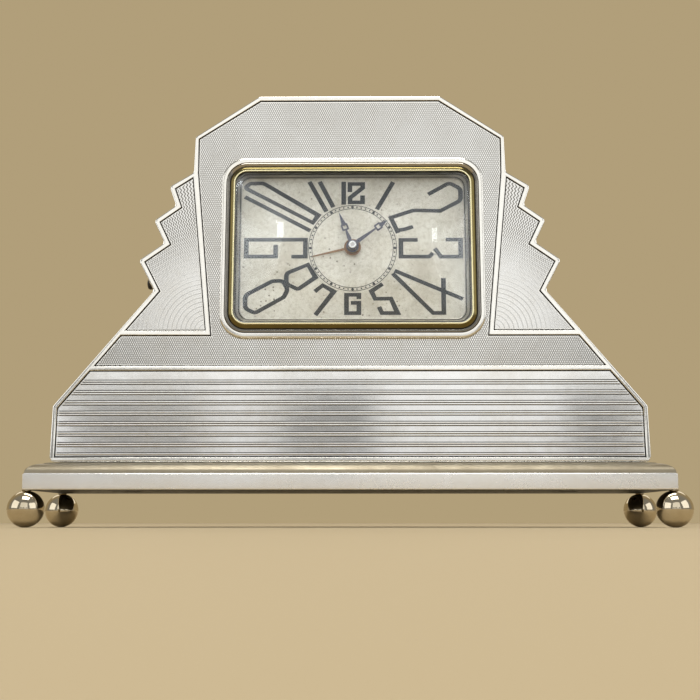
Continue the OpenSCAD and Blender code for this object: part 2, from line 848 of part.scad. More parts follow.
module pallet_lever() {
    color("gray") {
        at(lever_pos) {
            rod(0.5, -7.4, 7.4);
            slab(2, 2.6) {
                circle(1);
                for (s = [-1, 1]) polygon([[0, s * 0.4], [-2.6, s * 2.6], [-2.2, s * 3.2], [0.6, s * 0.8]]);
                polygon([[0, -0.4], [0, 0.4], [5, 0.9], [5.2, 0.35], [4.2, 0.3], [4.2, -0.3], [5.2, -0.35], [5, -0.9]]);
            }
            for (s = [-1, 1]) translate([-2.3, 0, s * 2.85]) rod(0.25, 1, 2.6);
        }
    }
}

module balance() {
    color("goldenrod") {
        train_arbor(balance_pos);
        at(balance_pos) slab(-3, -1.8) {
            difference() {
                circle(6.6);
                circle(5.6);
            }
            circle(1.4);
            for (i = [0:2]) rotate(i * 120 + 30) translate([3, 0]) square([5.6, 0.9], center = true);
        }
        at(balance_pos) rod(1, 1.7, 2.9);
    }
}

module hairspring() {
    color("steelblue") at(balance_pos) coil(0.6, 4.2, 6, 0.16, -4.4, -3.9, 1);
}

module balance_cock() {
    color("goldenrod") at(balance_pos) difference() {
        union() {
            slab(-5.6, -5) {
                circle(1.6);
                translate([3.6, 3.4]) rotate(43) square([12, 2.4], center = true);
            }
            translate([7.2, 0, 6.8]) rod(1.5, -6, -5);
        }
        rod(0.55, -7, 0);
    }
}

module regulator() {
    color("steelblue") at(balance_pos) slab(-4.9, -4.6) difference() {
        union() {
            circle(1.3);
            rotate(-60) translate([2.8, 0]) square([5.6, 0.6], center = true);
        }
        circle(0.6);
    }
}

// ---------- alarm train ----------

module alarm_escape() {
    color("goldenrod") {
        train_arbor(striker_pos);
        at(striker_pos) {
            gear(10, striker_mod, dir(striker_pos, alarm_pos) + 18, -4.2, -2.7);
            ratchet(3.4, 15, 2, 2.8);
        }
    }
}

// Sprung hammer whose head hangs just clear of the gong
module hammer() {
    color("gray") at(hammer_pos) {
        rod(0.7, -5.9, 5.9);
        slab(2, 2.8) {
            circle(1.4);
            polygon([[-0.6, 0], [0.6, 0], [0.5, -18], [-0.5, -18]]);
            polygon([[-0.6, 0], [0.4, 0.6], [-0.4, 4], [-1.2, 3.8]]);
        }
        translate([0, 0, -18]) rod(2, 0.4, 4);
    }
}

module gong() {
    color("gray") at([hammer_pos[0] - 2.6, hammer_pos[1] - 14]) {
        translate([-1.6, -1, -10]) cube([1.6, 4.6, 10]);
        translate([-14, -1, -10]) cube([14, 4.6, 1.8]);
        for (x = [-12, -4]) translate([x, 0, -9.1]) rod(0.8, -6, -1);
    }
}

front_plate();
case_body();
base_shell();
base_core();
base_board();
foot(-1, -1);  // foot_front_left
foot(1, -1);  // foot_front_right
foot(-1, 1);  // foot_back_left
foot(1, 1);  // foot_back_right
bezel_surround();
bezel();
glass();
sight_ring();
dial();
dial_numerals();
dial_track();
rear_door();
door_leaf();
door_knob();
hinge_leaf();
hinge_pin();
door_turn();
case_screws();
alarm_stop_button();
movement_front_plate();
movement_back_plate();
pillars();
movement_screws();
going_barrel();
going_spring();
going_arbor();
going_click();
going_key();
alarm_barrel();
alarm_spring();
alarm_arbor();
alarm_click();
alarm_key();
centre_arbor();
minute_hand();
set_knob();
hour_wheel();
hour_hand();
minute_wheel();
alarm_wheel();
alarm_hand();
alarm_set_arbor();
alarm_set_knob();
centre_wheel();
third_wheel();
fourth_wheel();
escape_wheel();
pallet_lever();
balance();
hairspring();
balance_cock();
regulator();
alarm_escape();
hammer();
gong();
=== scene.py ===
"""Looks of a stepped silver mantel clock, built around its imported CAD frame."""
import json
from math import acos, atan2, cos, hypot, pi, radians, sin, tan

import bmesh
import bpy
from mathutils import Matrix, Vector
from mathutils.geometry import tessellate_polygon


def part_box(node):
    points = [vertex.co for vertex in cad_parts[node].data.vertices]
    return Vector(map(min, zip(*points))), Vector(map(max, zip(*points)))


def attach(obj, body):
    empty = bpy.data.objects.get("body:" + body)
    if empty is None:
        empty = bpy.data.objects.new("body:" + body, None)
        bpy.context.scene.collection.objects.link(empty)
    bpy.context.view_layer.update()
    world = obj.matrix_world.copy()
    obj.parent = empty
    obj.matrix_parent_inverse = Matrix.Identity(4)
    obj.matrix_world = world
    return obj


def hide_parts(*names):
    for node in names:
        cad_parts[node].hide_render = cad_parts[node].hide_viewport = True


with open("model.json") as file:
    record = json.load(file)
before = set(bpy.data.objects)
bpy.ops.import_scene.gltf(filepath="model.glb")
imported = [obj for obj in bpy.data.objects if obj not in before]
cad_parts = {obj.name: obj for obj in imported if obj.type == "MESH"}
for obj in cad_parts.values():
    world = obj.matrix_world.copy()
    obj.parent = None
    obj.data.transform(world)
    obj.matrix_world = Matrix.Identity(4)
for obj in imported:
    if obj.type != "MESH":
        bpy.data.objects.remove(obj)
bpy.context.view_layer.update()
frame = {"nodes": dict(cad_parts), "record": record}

MM = 0.001
scene = bpy.context.scene

# ---- places taken from the frame
plate_low, plate_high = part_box("front_plate")
base_low, base_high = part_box("base_shell")
dial_low, dial_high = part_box("dial")
surround_low, surround_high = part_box("bezel_surround")
glass_low, glass_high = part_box("glass")
PLATE_Y = plate_low.y / MM  # front face of the silver plate
TOP_Z = plate_high.z / MM
DIAL_X = (dial_low.x + dial_high.x) / 2 / MM
DIAL_Z = (dial_low.z + dial_high.z) / 2 / MM
BEZEL_Z = (surround_low.z + surround_high.z) / 2 / MM
HUB = (DIAL_X, DIAL_Z)  # the hands' axis
BEZEL = (DIAL_X, BEZEL_Z)  # middle of the bezel
SURROUND_W = (surround_high.x - surround_low.x) / MM
SURROUND_H = (surround_high.z - surround_low.z) / MM
DIAL_Y = dial_low.y / MM  # front face of the dial
CASE_BACK_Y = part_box("case_body")[1].y / MM
BASE_W = (base_high.x - base_low.x) / MM
BASE_D = (base_high.y - base_low.y) / MM
BASE_Z = base_low.z / MM
BASE_TOP = base_high.z / MM
GLASS_W = (glass_high.x - glass_low.x) / MM
GLASS_H = (glass_high.z - glass_low.z) / MM
GLASS_BACK_Y = glass_high.y / MM


# ---- flat outlines
def dist(a, b):
    return hypot(b[0] - a[0], b[1] - a[1])


def area(points):
    return sum(a[0] * b[1] - b[0] * a[1] for a, b in zip(points, points[1:] + points[:1])) / 2


def ccw(points):
    return list(points) if area(points) > 0 else list(points)[::-1]


def mirror_x(points):
    return [(-x, z) for x, z in points]


def inset(points, d):
    """A closed outline moved inwards by d with mitred corners. The outline runs anticlockwise."""
    out = []
    n = len(points)
    for i in range(n):
        p, a, b = Vector(points[i]), Vector(points[i - 1]), Vector(points[(i + 1) % n])
        u, v = (p - a).normalized(), (b - p).normalized()
        nu, nv = Vector((-u.y, u.x)), Vector((-v.y, v.x))
        m = (nu + nv) / (1 + nu.dot(nv))
        out.append(tuple(p + m * d))
    return out


def rounded(points, radius, steps=4):
    """A closed outline with each corner turned into an arc of the same number of points."""
    out = []
    n = len(points)
    for i in range(n):
        p, a, b = Vector(points[i]), Vector(points[i - 1]), Vector(points[(i + 1) % n])
        u, v = (a - p).normalized(), (b - p).normalized()
        half = acos(max(-1, min(1, u.dot(v)))) / 2
        cut = min(radius / tan(half), 0.45 * (a - p).length, 0.45 * (b - p).length)
        r = cut * tan(half)
        centre = p + (u + v).normalized() * (cut / cos(half)) if r > 1e-6 else p
        start, end = p + u * cut - centre, p + v * cut - centre
        turn = atan2(start.x * end.y - start.y * end.x, start.dot(end))
        for k in range(steps + 1):
            t = turn * k / steps
            c, s = cos(t), sin(t)
            out.append((centre.x + start.x * c - start.y * s, centre.y + start.x * s + start.y * c))
    return out


def rect(w, h, cx=0.0, cz=0.0):
    left, right, low, high = cx - w / 2, cx + w / 2, cz - h / 2, cz + h / 2
    return [(left, low), (right, low), (right, high), (left, high)]


def round_rect(w, h, r, cx=0.0, cz=0.0, steps=10):
    return rounded(rect(w, h, cx, cz), r, steps)


def circle(r, cx=0.0, cz=0.0, steps=64):
    angles = [2 * pi * i / steps for i in range(steps)]
    return [(cx + r * cos(a), cz + r * sin(a)) for a in angles]


def inside(p, points):
    x, z = p
    hit = False
    for (x0, z0), (x1, z1) in zip(points, points[1:] + points[:1]):
        if (z0 > z) != (z1 > z) and x < (x1 - x0) * (z - z0) / (z1 - z0) + x0:
            hit = not hit
    return hit


def ribbon(points, width, height, closed=False):
    """Outline and holes of a flat stroke with square ends."""
    n = len(points)
    left, right = [], []
    for i in range(n):
        p = Vector(points[i])
        a = Vector(points[i - 1]) if closed or i > 0 else None
        b = Vector(points[(i + 1) % n]) if closed or i < n - 1 else None
        u = (p - a).normalized() if a is not None else (b - p).normalized()
        v = (b - p).normalized() if b is not None else u
        nu, nv = Vector((-u.y, u.x)), Vector((-v.y, v.x))
        m = (nu + nv) / max(1 + nu.dot(nv), 0.35)
        shift = Vector((m.x * width / 2, m.y * height / 2))
        left.append(tuple(p + shift))
        right.append(tuple(p - shift))
    if closed:
        outer, hole = (left, right) if abs(area(left)) > abs(area(right)) else (right, left)
        return ccw(outer), [ccw(hole)]
    return ccw(left + right[::-1]), []


def smooth_path(points):
    """A path of (x, z) or (x, z, radius) points; a point with a radius becomes an arc."""
    steps = 6
    flat = [p[:2] for p in points]
    out = []
    for i, p in enumerate(points):
        if len(p) < 3:
            out.append(p)
        else:
            arcs = rounded([flat[i - 1], flat[i], flat[(i + 1) % len(flat)]], p[2], steps)
            out += arcs[steps + 1:2 * steps + 2]
    return out


# ---- meshes
def add_object(name, data):
    obj = bpy.data.objects.new(name, data)
    scene.collection.objects.link(obj)
    return obj


class Mesh:
    """Collects points and faces in millimetres, then becomes one piece."""

    def __init__(self):
        self.verts, self.faces, self.tags = [], [], []

    def add(self, verts, faces):
        n = len(self.verts)
        self.verts += verts
        self.faces += [tuple(n + i for i in f) for f in faces]
        self.tags += [0] * len(faces)

    def ring_stack(self, rings, tags=None, close=False):
        """Joins closed rings of equal length with quads; each step has its tag."""
        n = len(rings[0])
        starts = [len(self.verts) + n * k for k in range(len(rings))]
        for r in rings:
            self.verts += r
        pairs = list(zip(starts, starts[1:]))
        if close:
            pairs.append((starts[-1], starts[0]))
        for j, (a, b) in enumerate(pairs):
            for i in range(n):
                k = (i + 1) % n
                self.faces.append((a + i, a + k, b + k, b + i))
                self.tags.append(tags[j] if tags else 0)

    def cap(self, outline, holes, place):
        """Closes an outline with flat faces round its holes; place puts flat points in space."""
        loops = [outline] + list(holes)
        tris = tessellate_polygon([[Vector((x, z, 0)) for x, z in loop] for loop in loops])
        points = [place(p) for loop in loops for p in loop]
        self.add(points, [tuple(t) for t in tris])

    def piece(self, name, body, materials, replaces=(), smooth=True, angle=35):
        """Makes the object; a face's tag is its place in materials."""
        data = bpy.data.meshes.new(name)
        data.from_pydata([tuple(c * MM for c in v) for v in self.verts], [], self.faces)
        for i, p in enumerate(data.polygons):
            p.material_index = self.tags[i]
        bm = bmesh.new()
        bm.from_mesh(data)
        bmesh.ops.remove_doubles(bm, verts=bm.verts, dist=1e-6)
        bmesh.ops.dissolve_degenerate(bm, dist=1e-7, edges=bm.edges)
        bmesh.ops.recalc_face_normals(bm, faces=bm.faces)
        bm.to_mesh(data)
        bm.free()
        for m in materials:
            data.materials.append(m)
        if smooth:
            data.shade_smooth()
            data.set_sharp_from_angle(angle=radians(angle))
        obj = add_object(name, data)
        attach(obj, body)
        if smooth:
            obj.modifiers.new("flat_faces", "WEIGHTED_NORMAL").keep_sharp = True
        if replaces:
            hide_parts(*replaces)
        return obj


def front(y):
    """Places flat X and Z points on the plane at depth y."""
    return lambda p: (p[0], y, p[1])


def level(points, y):
    return [(x, y, z) for x, z in points]


def lathe(mesh, profile, centre, axis, steps):
    """Turns a profile of (radius, height) about an axis through centre; ends on the axis close."""
    rings = []
    u, v, w = {"x": (1, 2, 0), "y": (2, 0, 1), "z": (0, 1, 2)}[axis]
    for r, h in profile:
        ring = []
        for i in range(steps):
            a = 2 * pi * i / steps
            p = [0.0, 0.0, 0.0]
            p[u] = centre[u] + max(r, 1e-4) * cos(a)
            p[v] = centre[v] + max(r, 1e-4) * sin(a)
            p[w] = centre[w] + h
            ring.append(tuple(p))
        rings.append(ring)
    mesh.ring_stack(rings)


def slab(mesh, outline, holes, y0, y1, bevel=0.0):
    """A flat solid between depths y0 (front) and y1; a bevel rounds its front and back edges."""
    steps = 3

    def levels(points, sign):
        out = [inset(points, sign * bevel)]
        ys = [y0]
        if bevel:
            for k in range(1, steps + 1):
                t = pi / 2 * k / steps
                out.append(inset(points, sign * bevel * (1 - sin(t))))
                ys.append(y0 + bevel * (1 - cos(t)))
            for k in range(steps + 1):
                t = pi / 2 * k / steps
                out.append(inset(points, sign * bevel * (1 - cos(t))))
                ys.append(y1 - bevel * (1 - sin(t)))
        else:
            out.append(points)
            ys.append(y1)
        return out, ys

    outer, ys = levels(ccw(outline), 1)
    inner = [levels(ccw(h), -1)[0] for h in holes]
    for rings in [outer] + inner:
        mesh.ring_stack([level(p, y) for p, y in zip(rings, ys)])
    mesh.cap(outer[0], [r[0] for r in inner], front(ys[0]))
    mesh.cap(outer[-1], [r[-1] for r in inner], front(ys[-1]))


# ---- materials
class Nodes:
    """Builds a procedural material round one Principled shader."""

    def __init__(self, name, **values):
        self.material = bpy.data.materials.new(name)
        self.material.use_nodes = True
        self.tree = self.material.node_tree
        self.tree.nodes.clear()
        self.out = self.node("ShaderNodeOutputMaterial")
        self.shader = self.node("ShaderNodeBsdfPrincipled", **values)
        self.feed(self.out.inputs["Surface"], self.shader.outputs[0])
        self.coord = self.node("ShaderNodeTexCoord").outputs["Object"]

    def feed(self, socket, value):
        """Links a socket to another node's output, or sets it to a constant."""
        if isinstance(value, bpy.types.NodeSocket):
            self.tree.links.new(value, socket)
        else:
            socket.default_value = value

    def node(self, kind, **inputs):
        n = self.tree.nodes.new(kind)
        for key, value in inputs.items():
            self.feed(n.inputs[key.replace("_", " ")], value)
        return n

    def noise(self, scale, detail=4.0, rough=0.6, stretch=(1, 1, 1), distort=0.0):
        mapped = self.node("ShaderNodeMapping", Vector=self.coord, Scale=stretch).outputs[0]
        return self.node("ShaderNodeTexNoise", Vector=mapped, Scale=scale, Detail=detail,
                         Roughness=rough, Distortion=distort).outputs["Fac"]

    def ramp(self, fac, *stops):
        n = self.node("ShaderNodeValToRGB", Fac=fac)
        ramp = n.color_ramp
        while len(ramp.elements) < len(stops):
            ramp.elements.new(0.5)
        for e, (pos, colour) in zip(ramp.elements, stops):
            e.position = pos
            e.color = (*colour, 1)
        return n.outputs["Color"]

    def span(self, fac, low, high, from_low=0.0, from_high=1.0):
        return self.node("ShaderNodeMapRange", Value=fac, From_Min=from_low, From_Max=from_high,
                         To_Min=low, To_Max=high).outputs[0]

    def mix(self, fac, a, b):
        """Mixes two colours; inputs 6 and 7 and output 2 of a Mix node are its colours."""
        n = self.node("ShaderNodeMix")
        n.data_type = "RGBA"
        for index, value in ((0, fac), (6, a), (7, b)):
            self.feed(n.inputs[index], (*value, 1) if isinstance(value, tuple) else value)
        return n.outputs[2]

    def math(self, operation, a, b=0.0):
        n = self.node("ShaderNodeMath")
        n.operation = operation
        self.feed(n.inputs[0], a)
        self.feed(n.inputs[1], b)
        return n.outputs[0]

    def place(self):
        """The point's X and Z in millimetres."""
        split = self.node("ShaderNodeSeparateXYZ", Vector=self.coord)
        return [self.math("MULTIPLY", split.outputs[axis], 1 / MM) for axis in ("X", "Z")]

    def bump(self, height, distance):
        return self.node("ShaderNodeBump", Height=height, Distance=distance).outputs[0]

    def link(self, socket, name):
        self.feed(self.shader.inputs[name], socket)


def shaded(colour, factor, lift=0.0):
    """A colour made darker or lighter, never past white."""
    return tuple(min(1, c * factor + lift) for c in colour)


def tarnished(m, colour, tarnish, amount):
    """Cloudy tarnish over a clean colour; also returns the clouds, for the gloss."""
    cloud = m.noise(28, 6, 0.65)
    fine = m.noise(260, 3, 0.7)
    cover = m.span(m.mix(0.35, cloud, fine), 0, amount, 0.42, 0.75)
    return m.mix(cover, colour, tarnish), cloud


def metal(name, colour, tarnish, rough, amount, scratch=1e-5, grain=(1, 1, 1)):
    """Handled metal: cloudy tarnish, uneven gloss and hairline scratches along a grain."""
    m = Nodes(name, Metallic=1.0)
    base, cloud = tarnished(m, colour, tarnish, amount)
    m.link(base, "Base Color")
    m.link(m.span(cloud, rough * 0.75, rough * 1.45, 0.3, 0.7), "Roughness")
    m.link(m.bump(m.noise(900, 2, 0.5, grain), scratch), "Normal")
    return m.material


# colour laid darker along the engraved cuts
CUT_DARKENING = (0.075, 0.065, 0.045)


def engraved(name, colour, tarnish, rough, valley, strength):
    """Engine-turned metal; valley(m) is 1 where the colour is darkened: at the bottom of each cut, and
    on the fan's painted reflection rings.
    """
    m = Nodes(name, Metallic=1.0)
    base, cloud = tarnished(m, colour, tarnish, 0.35)
    dark = m.span(valley(m), 0, strength, 0.38, 0.85)
    m.link(m.mix(dark, base, CUT_DARKENING), "Base Color")
    m.link(m.span(cloud, rough * 0.8, rough * 1.3, 0.3, 0.7), "Roughness")
    return m.material


def wood(name, dark, light, rough=0.38):
    """Polished straight-grained wood with darker pores."""
    m = Nodes(name, Coat_Weight=0.25, Coat_Roughness=0.2)
    grain = m.noise(30, 6, 0.6, (0.35, 3.0, 3.0), 1.2)
    pores = m.noise(240, 4, 0.7, (0.12, 3.0, 3.0))
    figure = m.ramp(grain, (0.3, dark), (0.7, light))
    m.link(m.mix(m.span(pores, 0, 0.5, 0.5, 0.75), figure, shaded(dark, 0.35)), "Base Color")
    m.link(m.span(grain, rough * 0.8, rough * 1.3, 0.3, 0.7), "Roughness")
    m.link(m.bump(pores, 0.00012), "Normal")
    return m.material


def patina(name, colour):
    """Dark oxide that fills an engraved line; the same dark also stands as painted shade in gaps, on
    walls and under the plinth.
    """
    m = Nodes(name, Metallic=0.6)
    m.link(m.ramp(m.noise(300, 4, 0.7), (0.35, colour), (0.7, shaded(colour, 2.2))), "Base Color")
    m.link(m.span(m.noise(120), 0.48, 0.66), "Roughness")
    return m.material


def clear_glass(name):
    """Smeared glass: the base refracts, the coat reflects softly, and it casts no dark shadow."""
    m = Nodes(name, Roughness=0.0, IOR=1.22, Transmission_Weight=1.0,
              Coat_Weight=0.45, Coat_IOR=1.5, Coat_Roughness=0.2)
    path = m.node("ShaderNodeLightPath")
    clear = m.node("ShaderNodeBsdfTransparent", Color=(0.94, 0.95, 0.94, 1))
    mix = m.node("ShaderNodeMixShader")
    m.feed(mix.inputs[0], path.outputs["Is Shadow Ray"])
    m.feed(mix.inputs[1], m.shader.outputs[0])
    m.feed(mix.inputs[2], clear.outputs[0])
    m.feed(m.out.inputs["Surface"], mix.outputs[0])
    smear = m.ramp(m.noise(60, 5, 0.7), (0.35, (0.955, 0.96, 0.955)), (0.65, (1, 1, 1)))
    m.link(smear, "Base Color")
    return m.material


def dial_finish(name):
    """Old silvered dial: soft blotches, fine grain and dark specks."""
    m = Nodes(name, Metallic=0.3)
    cloud = m.noise(45, 6, 0.7)
    grain = m.noise(650, 4, 0.75)
    base = m.ramp(cloud, (0.36, (0.43, 0.405, 0.34)), (0.5, (0.57, 0.555, 0.49)),
                  (0.64, (0.65, 0.64, 0.585)))
    base = m.mix(m.span(grain, 0, 0.55, 0.47, 0.68), base, (0.33, 0.3, 0.23))
    cells = m.node("ShaderNodeTexVoronoi", Vector=m.coord, Scale=420)
    speck = m.span(cells.outputs["Distance"], 1, 0, 0.1, 0.2)
    patch = m.span(m.noise(60), 0, 1.0, 0.5, 0.6)
    base = m.mix(m.math("MULTIPLY", speck, patch), base, (0.1, 0.085, 0.06))
    m.link(base, "Base Color")
    m.link(m.span(cloud, 0.38, 0.55), "Roughness")
    m.link(m.bump(grain, 3e-5), "Normal")
    return m.material


def ink(name, colour):
    """Printed enamel, slightly worn."""
    m = Nodes(name)
    worn = m.noise(500, 5, 0.7)
    pale = shaded(colour, 1.7, 0.006)
    m.link(m.ramp(worn, (0.3, shaded(colour, 0.8)), (0.75, pale)), "Base Color")
    m.link(m.span(worn, 0.35, 0.55), "Roughness")
    m.link(m.bump(worn, 2e-5), "Normal")
    return m.material


SILVER = (0.86, 0.85, 0.81)
TARNISH = (0.55, 0.48, 0.37)
ALONG_X = (0.1, 1, 2)  # stretch of a grain that runs along the clock

# metal(name, colour, tarnish, roughness, amount of tarnish, depth of scratches, grain)
silver_polished = metal("silver_polished", SILVER, TARNISH, 0.1, 0.3)
silver_reeded = metal("silver_reeded", (0.84, 0.84, 0.83), (0.58, 0.53, 0.44), 0.12, 0.5,
                      3e-6, (0.08, 1, 3))
silver_plinth = metal("silver_plinth", (0.9, 0.895, 0.88), (0.6, 0.54, 0.44), 0.22, 0.25,
                      3e-6, ALONG_X)
# the rounded moulding's silver, painted dark brown as the reflection of brown surroundings
ovolo_painted_brown_reflection = metal("ovolo_painted_brown_reflection", (0.31, 0.275, 0.205), (0.19, 0.155, 0.1), 0.4, 0.6)
silver_moulding = metal("silver_moulding", SILVER, TARNISH, 0.12, 0.3)
# the moulding's silver again, painted darker as shade on its sunken inner slope
slope_silver_painted_shade = metal("slope_silver_painted_shade", (0.42, 0.4, 0.36), (0.24, 0.22, 0.17), 0.12, 0.5)
# the balls' silver, tinted dark brown as painted darker reflection
ball_silver_painted_dark_reflection = metal("ball_silver_painted_dark_reflection", (0.62, 0.55, 0.42), (0.36, 0.28, 0.16), 0.06, 0.6)
# the sight's silver, painted darker all round as the shade under the bezel
sight_silver_painted_shade = metal("sight_silver_painted_shade", (0.4, 0.39, 0.35), (0.22, 0.2, 0.16), 0.34, 0.6)
# dark patina for engraved lines and cuts, also used as painted shade in the gaps round the bezel, at the
# sight's edges and under the plinth
patina_and_painted_shade = patina("groove_patina_and_painted_shade", (0.018, 0.016, 0.012))
# the bezel's gilt in two copies: painted dark as shade and reflection on its hollow, painted pale and
# bright as a highlight on its bead
gilt = metal("gilt", (0.17, 0.135, 0.05), (0.075, 0.06, 0.025), 0.18, 0.6)
gilt_painted_highlight = metal("gilt_painted_highlight", (0.97, 0.91, 0.6), (0.82, 0.68, 0.3), 0.12, 0.3)
case_wood = wood("case_wood", (0.045, 0.02, 0.01), (0.115, 0.055, 0.026))
core_wood = wood("core_wood", (0.2, 0.12, 0.06), (0.34, 0.22, 0.12), 0.6)
brass = metal("movement_brass", (0.6, 0.47, 0.24), (0.24, 0.165, 0.07), 0.26, 0.8,
              2e-5, ALONG_X)
steel = metal("movement_steel", (0.5, 0.5, 0.51), (0.3, 0.28, 0.26), 0.25, 0.5)
blue_steel = metal("blued_steel", (0.16, 0.17, 0.33), (0.22, 0.16, 0.22), 0.28, 0.6)
hand_steel = metal("hand_steel", (0.075, 0.085, 0.125), (0.16, 0.145, 0.15), 0.3, 0.6)
washer_steel = metal("washer_steel", (0.8, 0.83, 0.84), (0.5, 0.52, 0.54), 0.16, 0.4)
copper = metal("copper", (0.25, 0.145, 0.08), (0.14, 0.095, 0.07), 0.34, 0.6)
glass_clear = clear_glass("glass_clear")
dial_silver = dial_finish("dial_silvered")
numeral_ink = ink("numeral_ink", (0.01, 0.016, 0.022))
board_black = ink("board_baize", (0.012, 0.012, 0.012))
button_black = ink("button_black", (0.015, 0.014, 0.014))

# ---- silver front plate
PLATE_EDGE = 5.0  # depth of the plate's turned edge
PLATE_THICK = 1.0  # the sheet's own thickness
RIM = 1.85  # polished rim round the plate
RIB = 1.8  # polished ribs between the panels
SUNK = 0.3  # panels below the rims
GROOVE_W = 0.44  # dark engraved line round each panel
GROOVE_D = 0.5

# Right half of the outline from the top down: half-width and height against the top
half_outline = [(38.1, 0), (64.6, -17.8), (65, -33.5), (74.9, -39.6), (72, -47.8), (80.9, -54.2),
                (76.3, -63.8), (86.7, -71.2), (80, -83.9), (119, -131.3), (119.3, -153.5)]
SLOPE_TOP, SLOPE_FOOT, PLATE_FOOT = 8, 9, 10  # places of three corners in it
WING = slice(3, 9)
right_side = [(x, TOP_Z + z) for x, z in half_outline]
outline = ccw(right_side + mirror_x(right_side)[::-1])
inner = inset(outline, RIM)


def nearest(points, target):
    return min(points, key=lambda p: dist(p, target))


def diagonal_x(z):
    """Half-width of the rim's inner edge on the long slope, at height z."""
    top, low = nearest(inner, right_side[SLOPE_TOP]), nearest(inner, right_side[SLOPE_FOOT])
    return top[0] + (top[1] - z) / (top[1] - low[1]) * (low[0] - top[0])


RIB_TOP_X = 64.1  # middle line of the rib between shield and wing
RIB_TOP_Z = 145.4
RIB_FOOT = (57.4, 77.7)
SHOULDER_Z = 160.5  # where the shield's slanting top meets its side
WING_TOP_Z = 143.8
BAND_Z = 63.2  # middle of the rib over the reeded panel
PANEL_FOOT_Z = 27.4
HALF_RIB = RIB / 2
FAN_FOCUS = (RIB_FOOT[0] + HALF_RIB, RIB_FOOT[1] + HALF_RIB)  # the wing's inner lower corner
BAND_TOP_Z = RIB_FOOT[1] - HALF_RIB
BAND_LOW_Z = BAND_Z + HALF_RIB
REEDS_TOP_Z = BAND_Z - HALF_RIB
FOOT_HALF_W = right_side[PLATE_FOOT][0] - RIM

shield_side = [nearest(inner, right_side[0]), (RIB_TOP_X - HALF_RIB, SHOULDER_Z),
               (RIB_TOP_X - HALF_RIB, RIB_TOP_Z), (RIB_FOOT[0] - HALF_RIB, BAND_TOP_Z),
               (diagonal_x(BAND_TOP_Z), BAND_TOP_Z), (diagonal_x(BAND_LOW_Z), BAND_LOW_Z)]
wing_panel = ccw([(RIB_TOP_X + HALF_RIB, WING_TOP_Z)]
                 + [nearest(inner, p) for p in right_side[WING]]
                 + [(diagonal_x(FAN_FOCUS[1]), FAN_FOCUS[1]), FAN_FOCUS])
foot_side = [(diagonal_x(REEDS_TOP_Z), REEDS_TOP_Z), nearest(inner, right_side[SLOPE_FOOT]),
             (FOOT_HALF_W, PANEL_FOOT_Z)]
panels = {"shield": ccw(shield_side + mirror_x(shield_side)[::-1]),
          "wing_right": wing_panel,
          "wing_left": ccw(mirror_x(wing_panel)),
          "foot": ccw(foot_side + mirror_x(foot_side)[::-1])}
WINDOW = (104, 71.5, 7.0)  # width, height and corner radius of the plate's opening
window = round_rect(*WINDOW, *BEZEL)


def build_plate():
    """The pressed plate: soft turned edge, rolled ribs and a dark line round each panel."""
    m = Mesh()
    # (inset, depth, corner radius) from the turned edge to the face
    edge = [(0.0, PLATE_EDGE, 1.7), (0.0, 0.42, 1.7), (0.06, 0.2, 1.65), (0.22, 0.06, 1.5),
            (0.48, 0.0, 1.3)]
    rings = [rounded(inset(outline, d), r) for d, y, r in edge]
    m.ring_stack([level(p, PLATE_Y + y) for p, (d, y, r) in zip(rings, edge)])
    # (inset, depth) from the rib's face down through the groove to the panel's floor
    floor_y = SUNK + 0.1
    border = [(-0.28, 0.0), (-0.14, 0.03), (-0.03, 0.1), (0.02, GROOVE_D),
              (0.02 + GROOVE_W, GROOVE_D), (0.05 + GROOVE_W, floor_y), (0.9, floor_y)]
    holes = []
    for points in panels.values():
        loops = [inset(points, d) for d, y in border]
        m.ring_stack([level(p, PLATE_Y + y) for p, (d, y) in zip(loops, border)], [0, 0, 1, 1, 1, 0])
        holes.append(loops[0])
    m.cap(rings[-1], holes, front(PLATE_Y))
    back = rounded(inset(outline, 0.7), 1.0)
    edge_y, back_y = PLATE_Y + PLATE_EDGE, PLATE_Y + PLATE_THICK
    m.ring_stack([level(rings[0], edge_y), level(back, edge_y), level(back, back_y)])
    m.cap(back, [window], front(back_y))
    m.piece("silver_plate", "case", [silver_polished, patina_and_painted_shade], ["front_plate"])


def patterned(name, panel, point_at, cells, finish):
    """A sheet of small facets: keeps the cells that lie in the panel and outside the window."""
    border = inset(panel, GROOVE_W + 0.3)
    index = {}
    verts, faces = [], []
    for cell in cells:
        flat = [point_at(*c) for c in cell]
        middle = (sum(p[0] for p in flat) / len(flat), sum(p[2] for p in flat) / len(flat))
        if not inside(middle, border) or inside(middle, window):
            continue
        for c, p in zip(cell, flat):
            if c not in index:
                index[c] = len(verts)
                verts.append(p)
        faces.append(tuple(index[c] for c in cell))
    m = Mesh()
    m.add(verts, faces)
    m.piece(name, "case", [finish], smooth=False)


GRAIN_W = 0.88  # width of a barleycorn grain
GRAIN_H = 1.8
GRAIN_D = 0.026  # how far a grain stands out
LATTICE_HALF_W = 106  # the lattice is trimmed to the shield
LATTICE_LOW_Z = 60


def lattice_valley(m):
    """Two sets of slanting lines between the barleycorn grains."""
    x, z = m.place()
    across, up = m.math("DIVIDE", x, GRAIN_W / 2), m.math("DIVIDE", z, GRAIN_H / 2)
    one = m.math("PINGPONG", m.math("ADD", across, up), 1)
    two = m.math("PINGPONG", m.math("SUBTRACT", across, up), 1)
    return m.math("MAXIMUM", one, two)


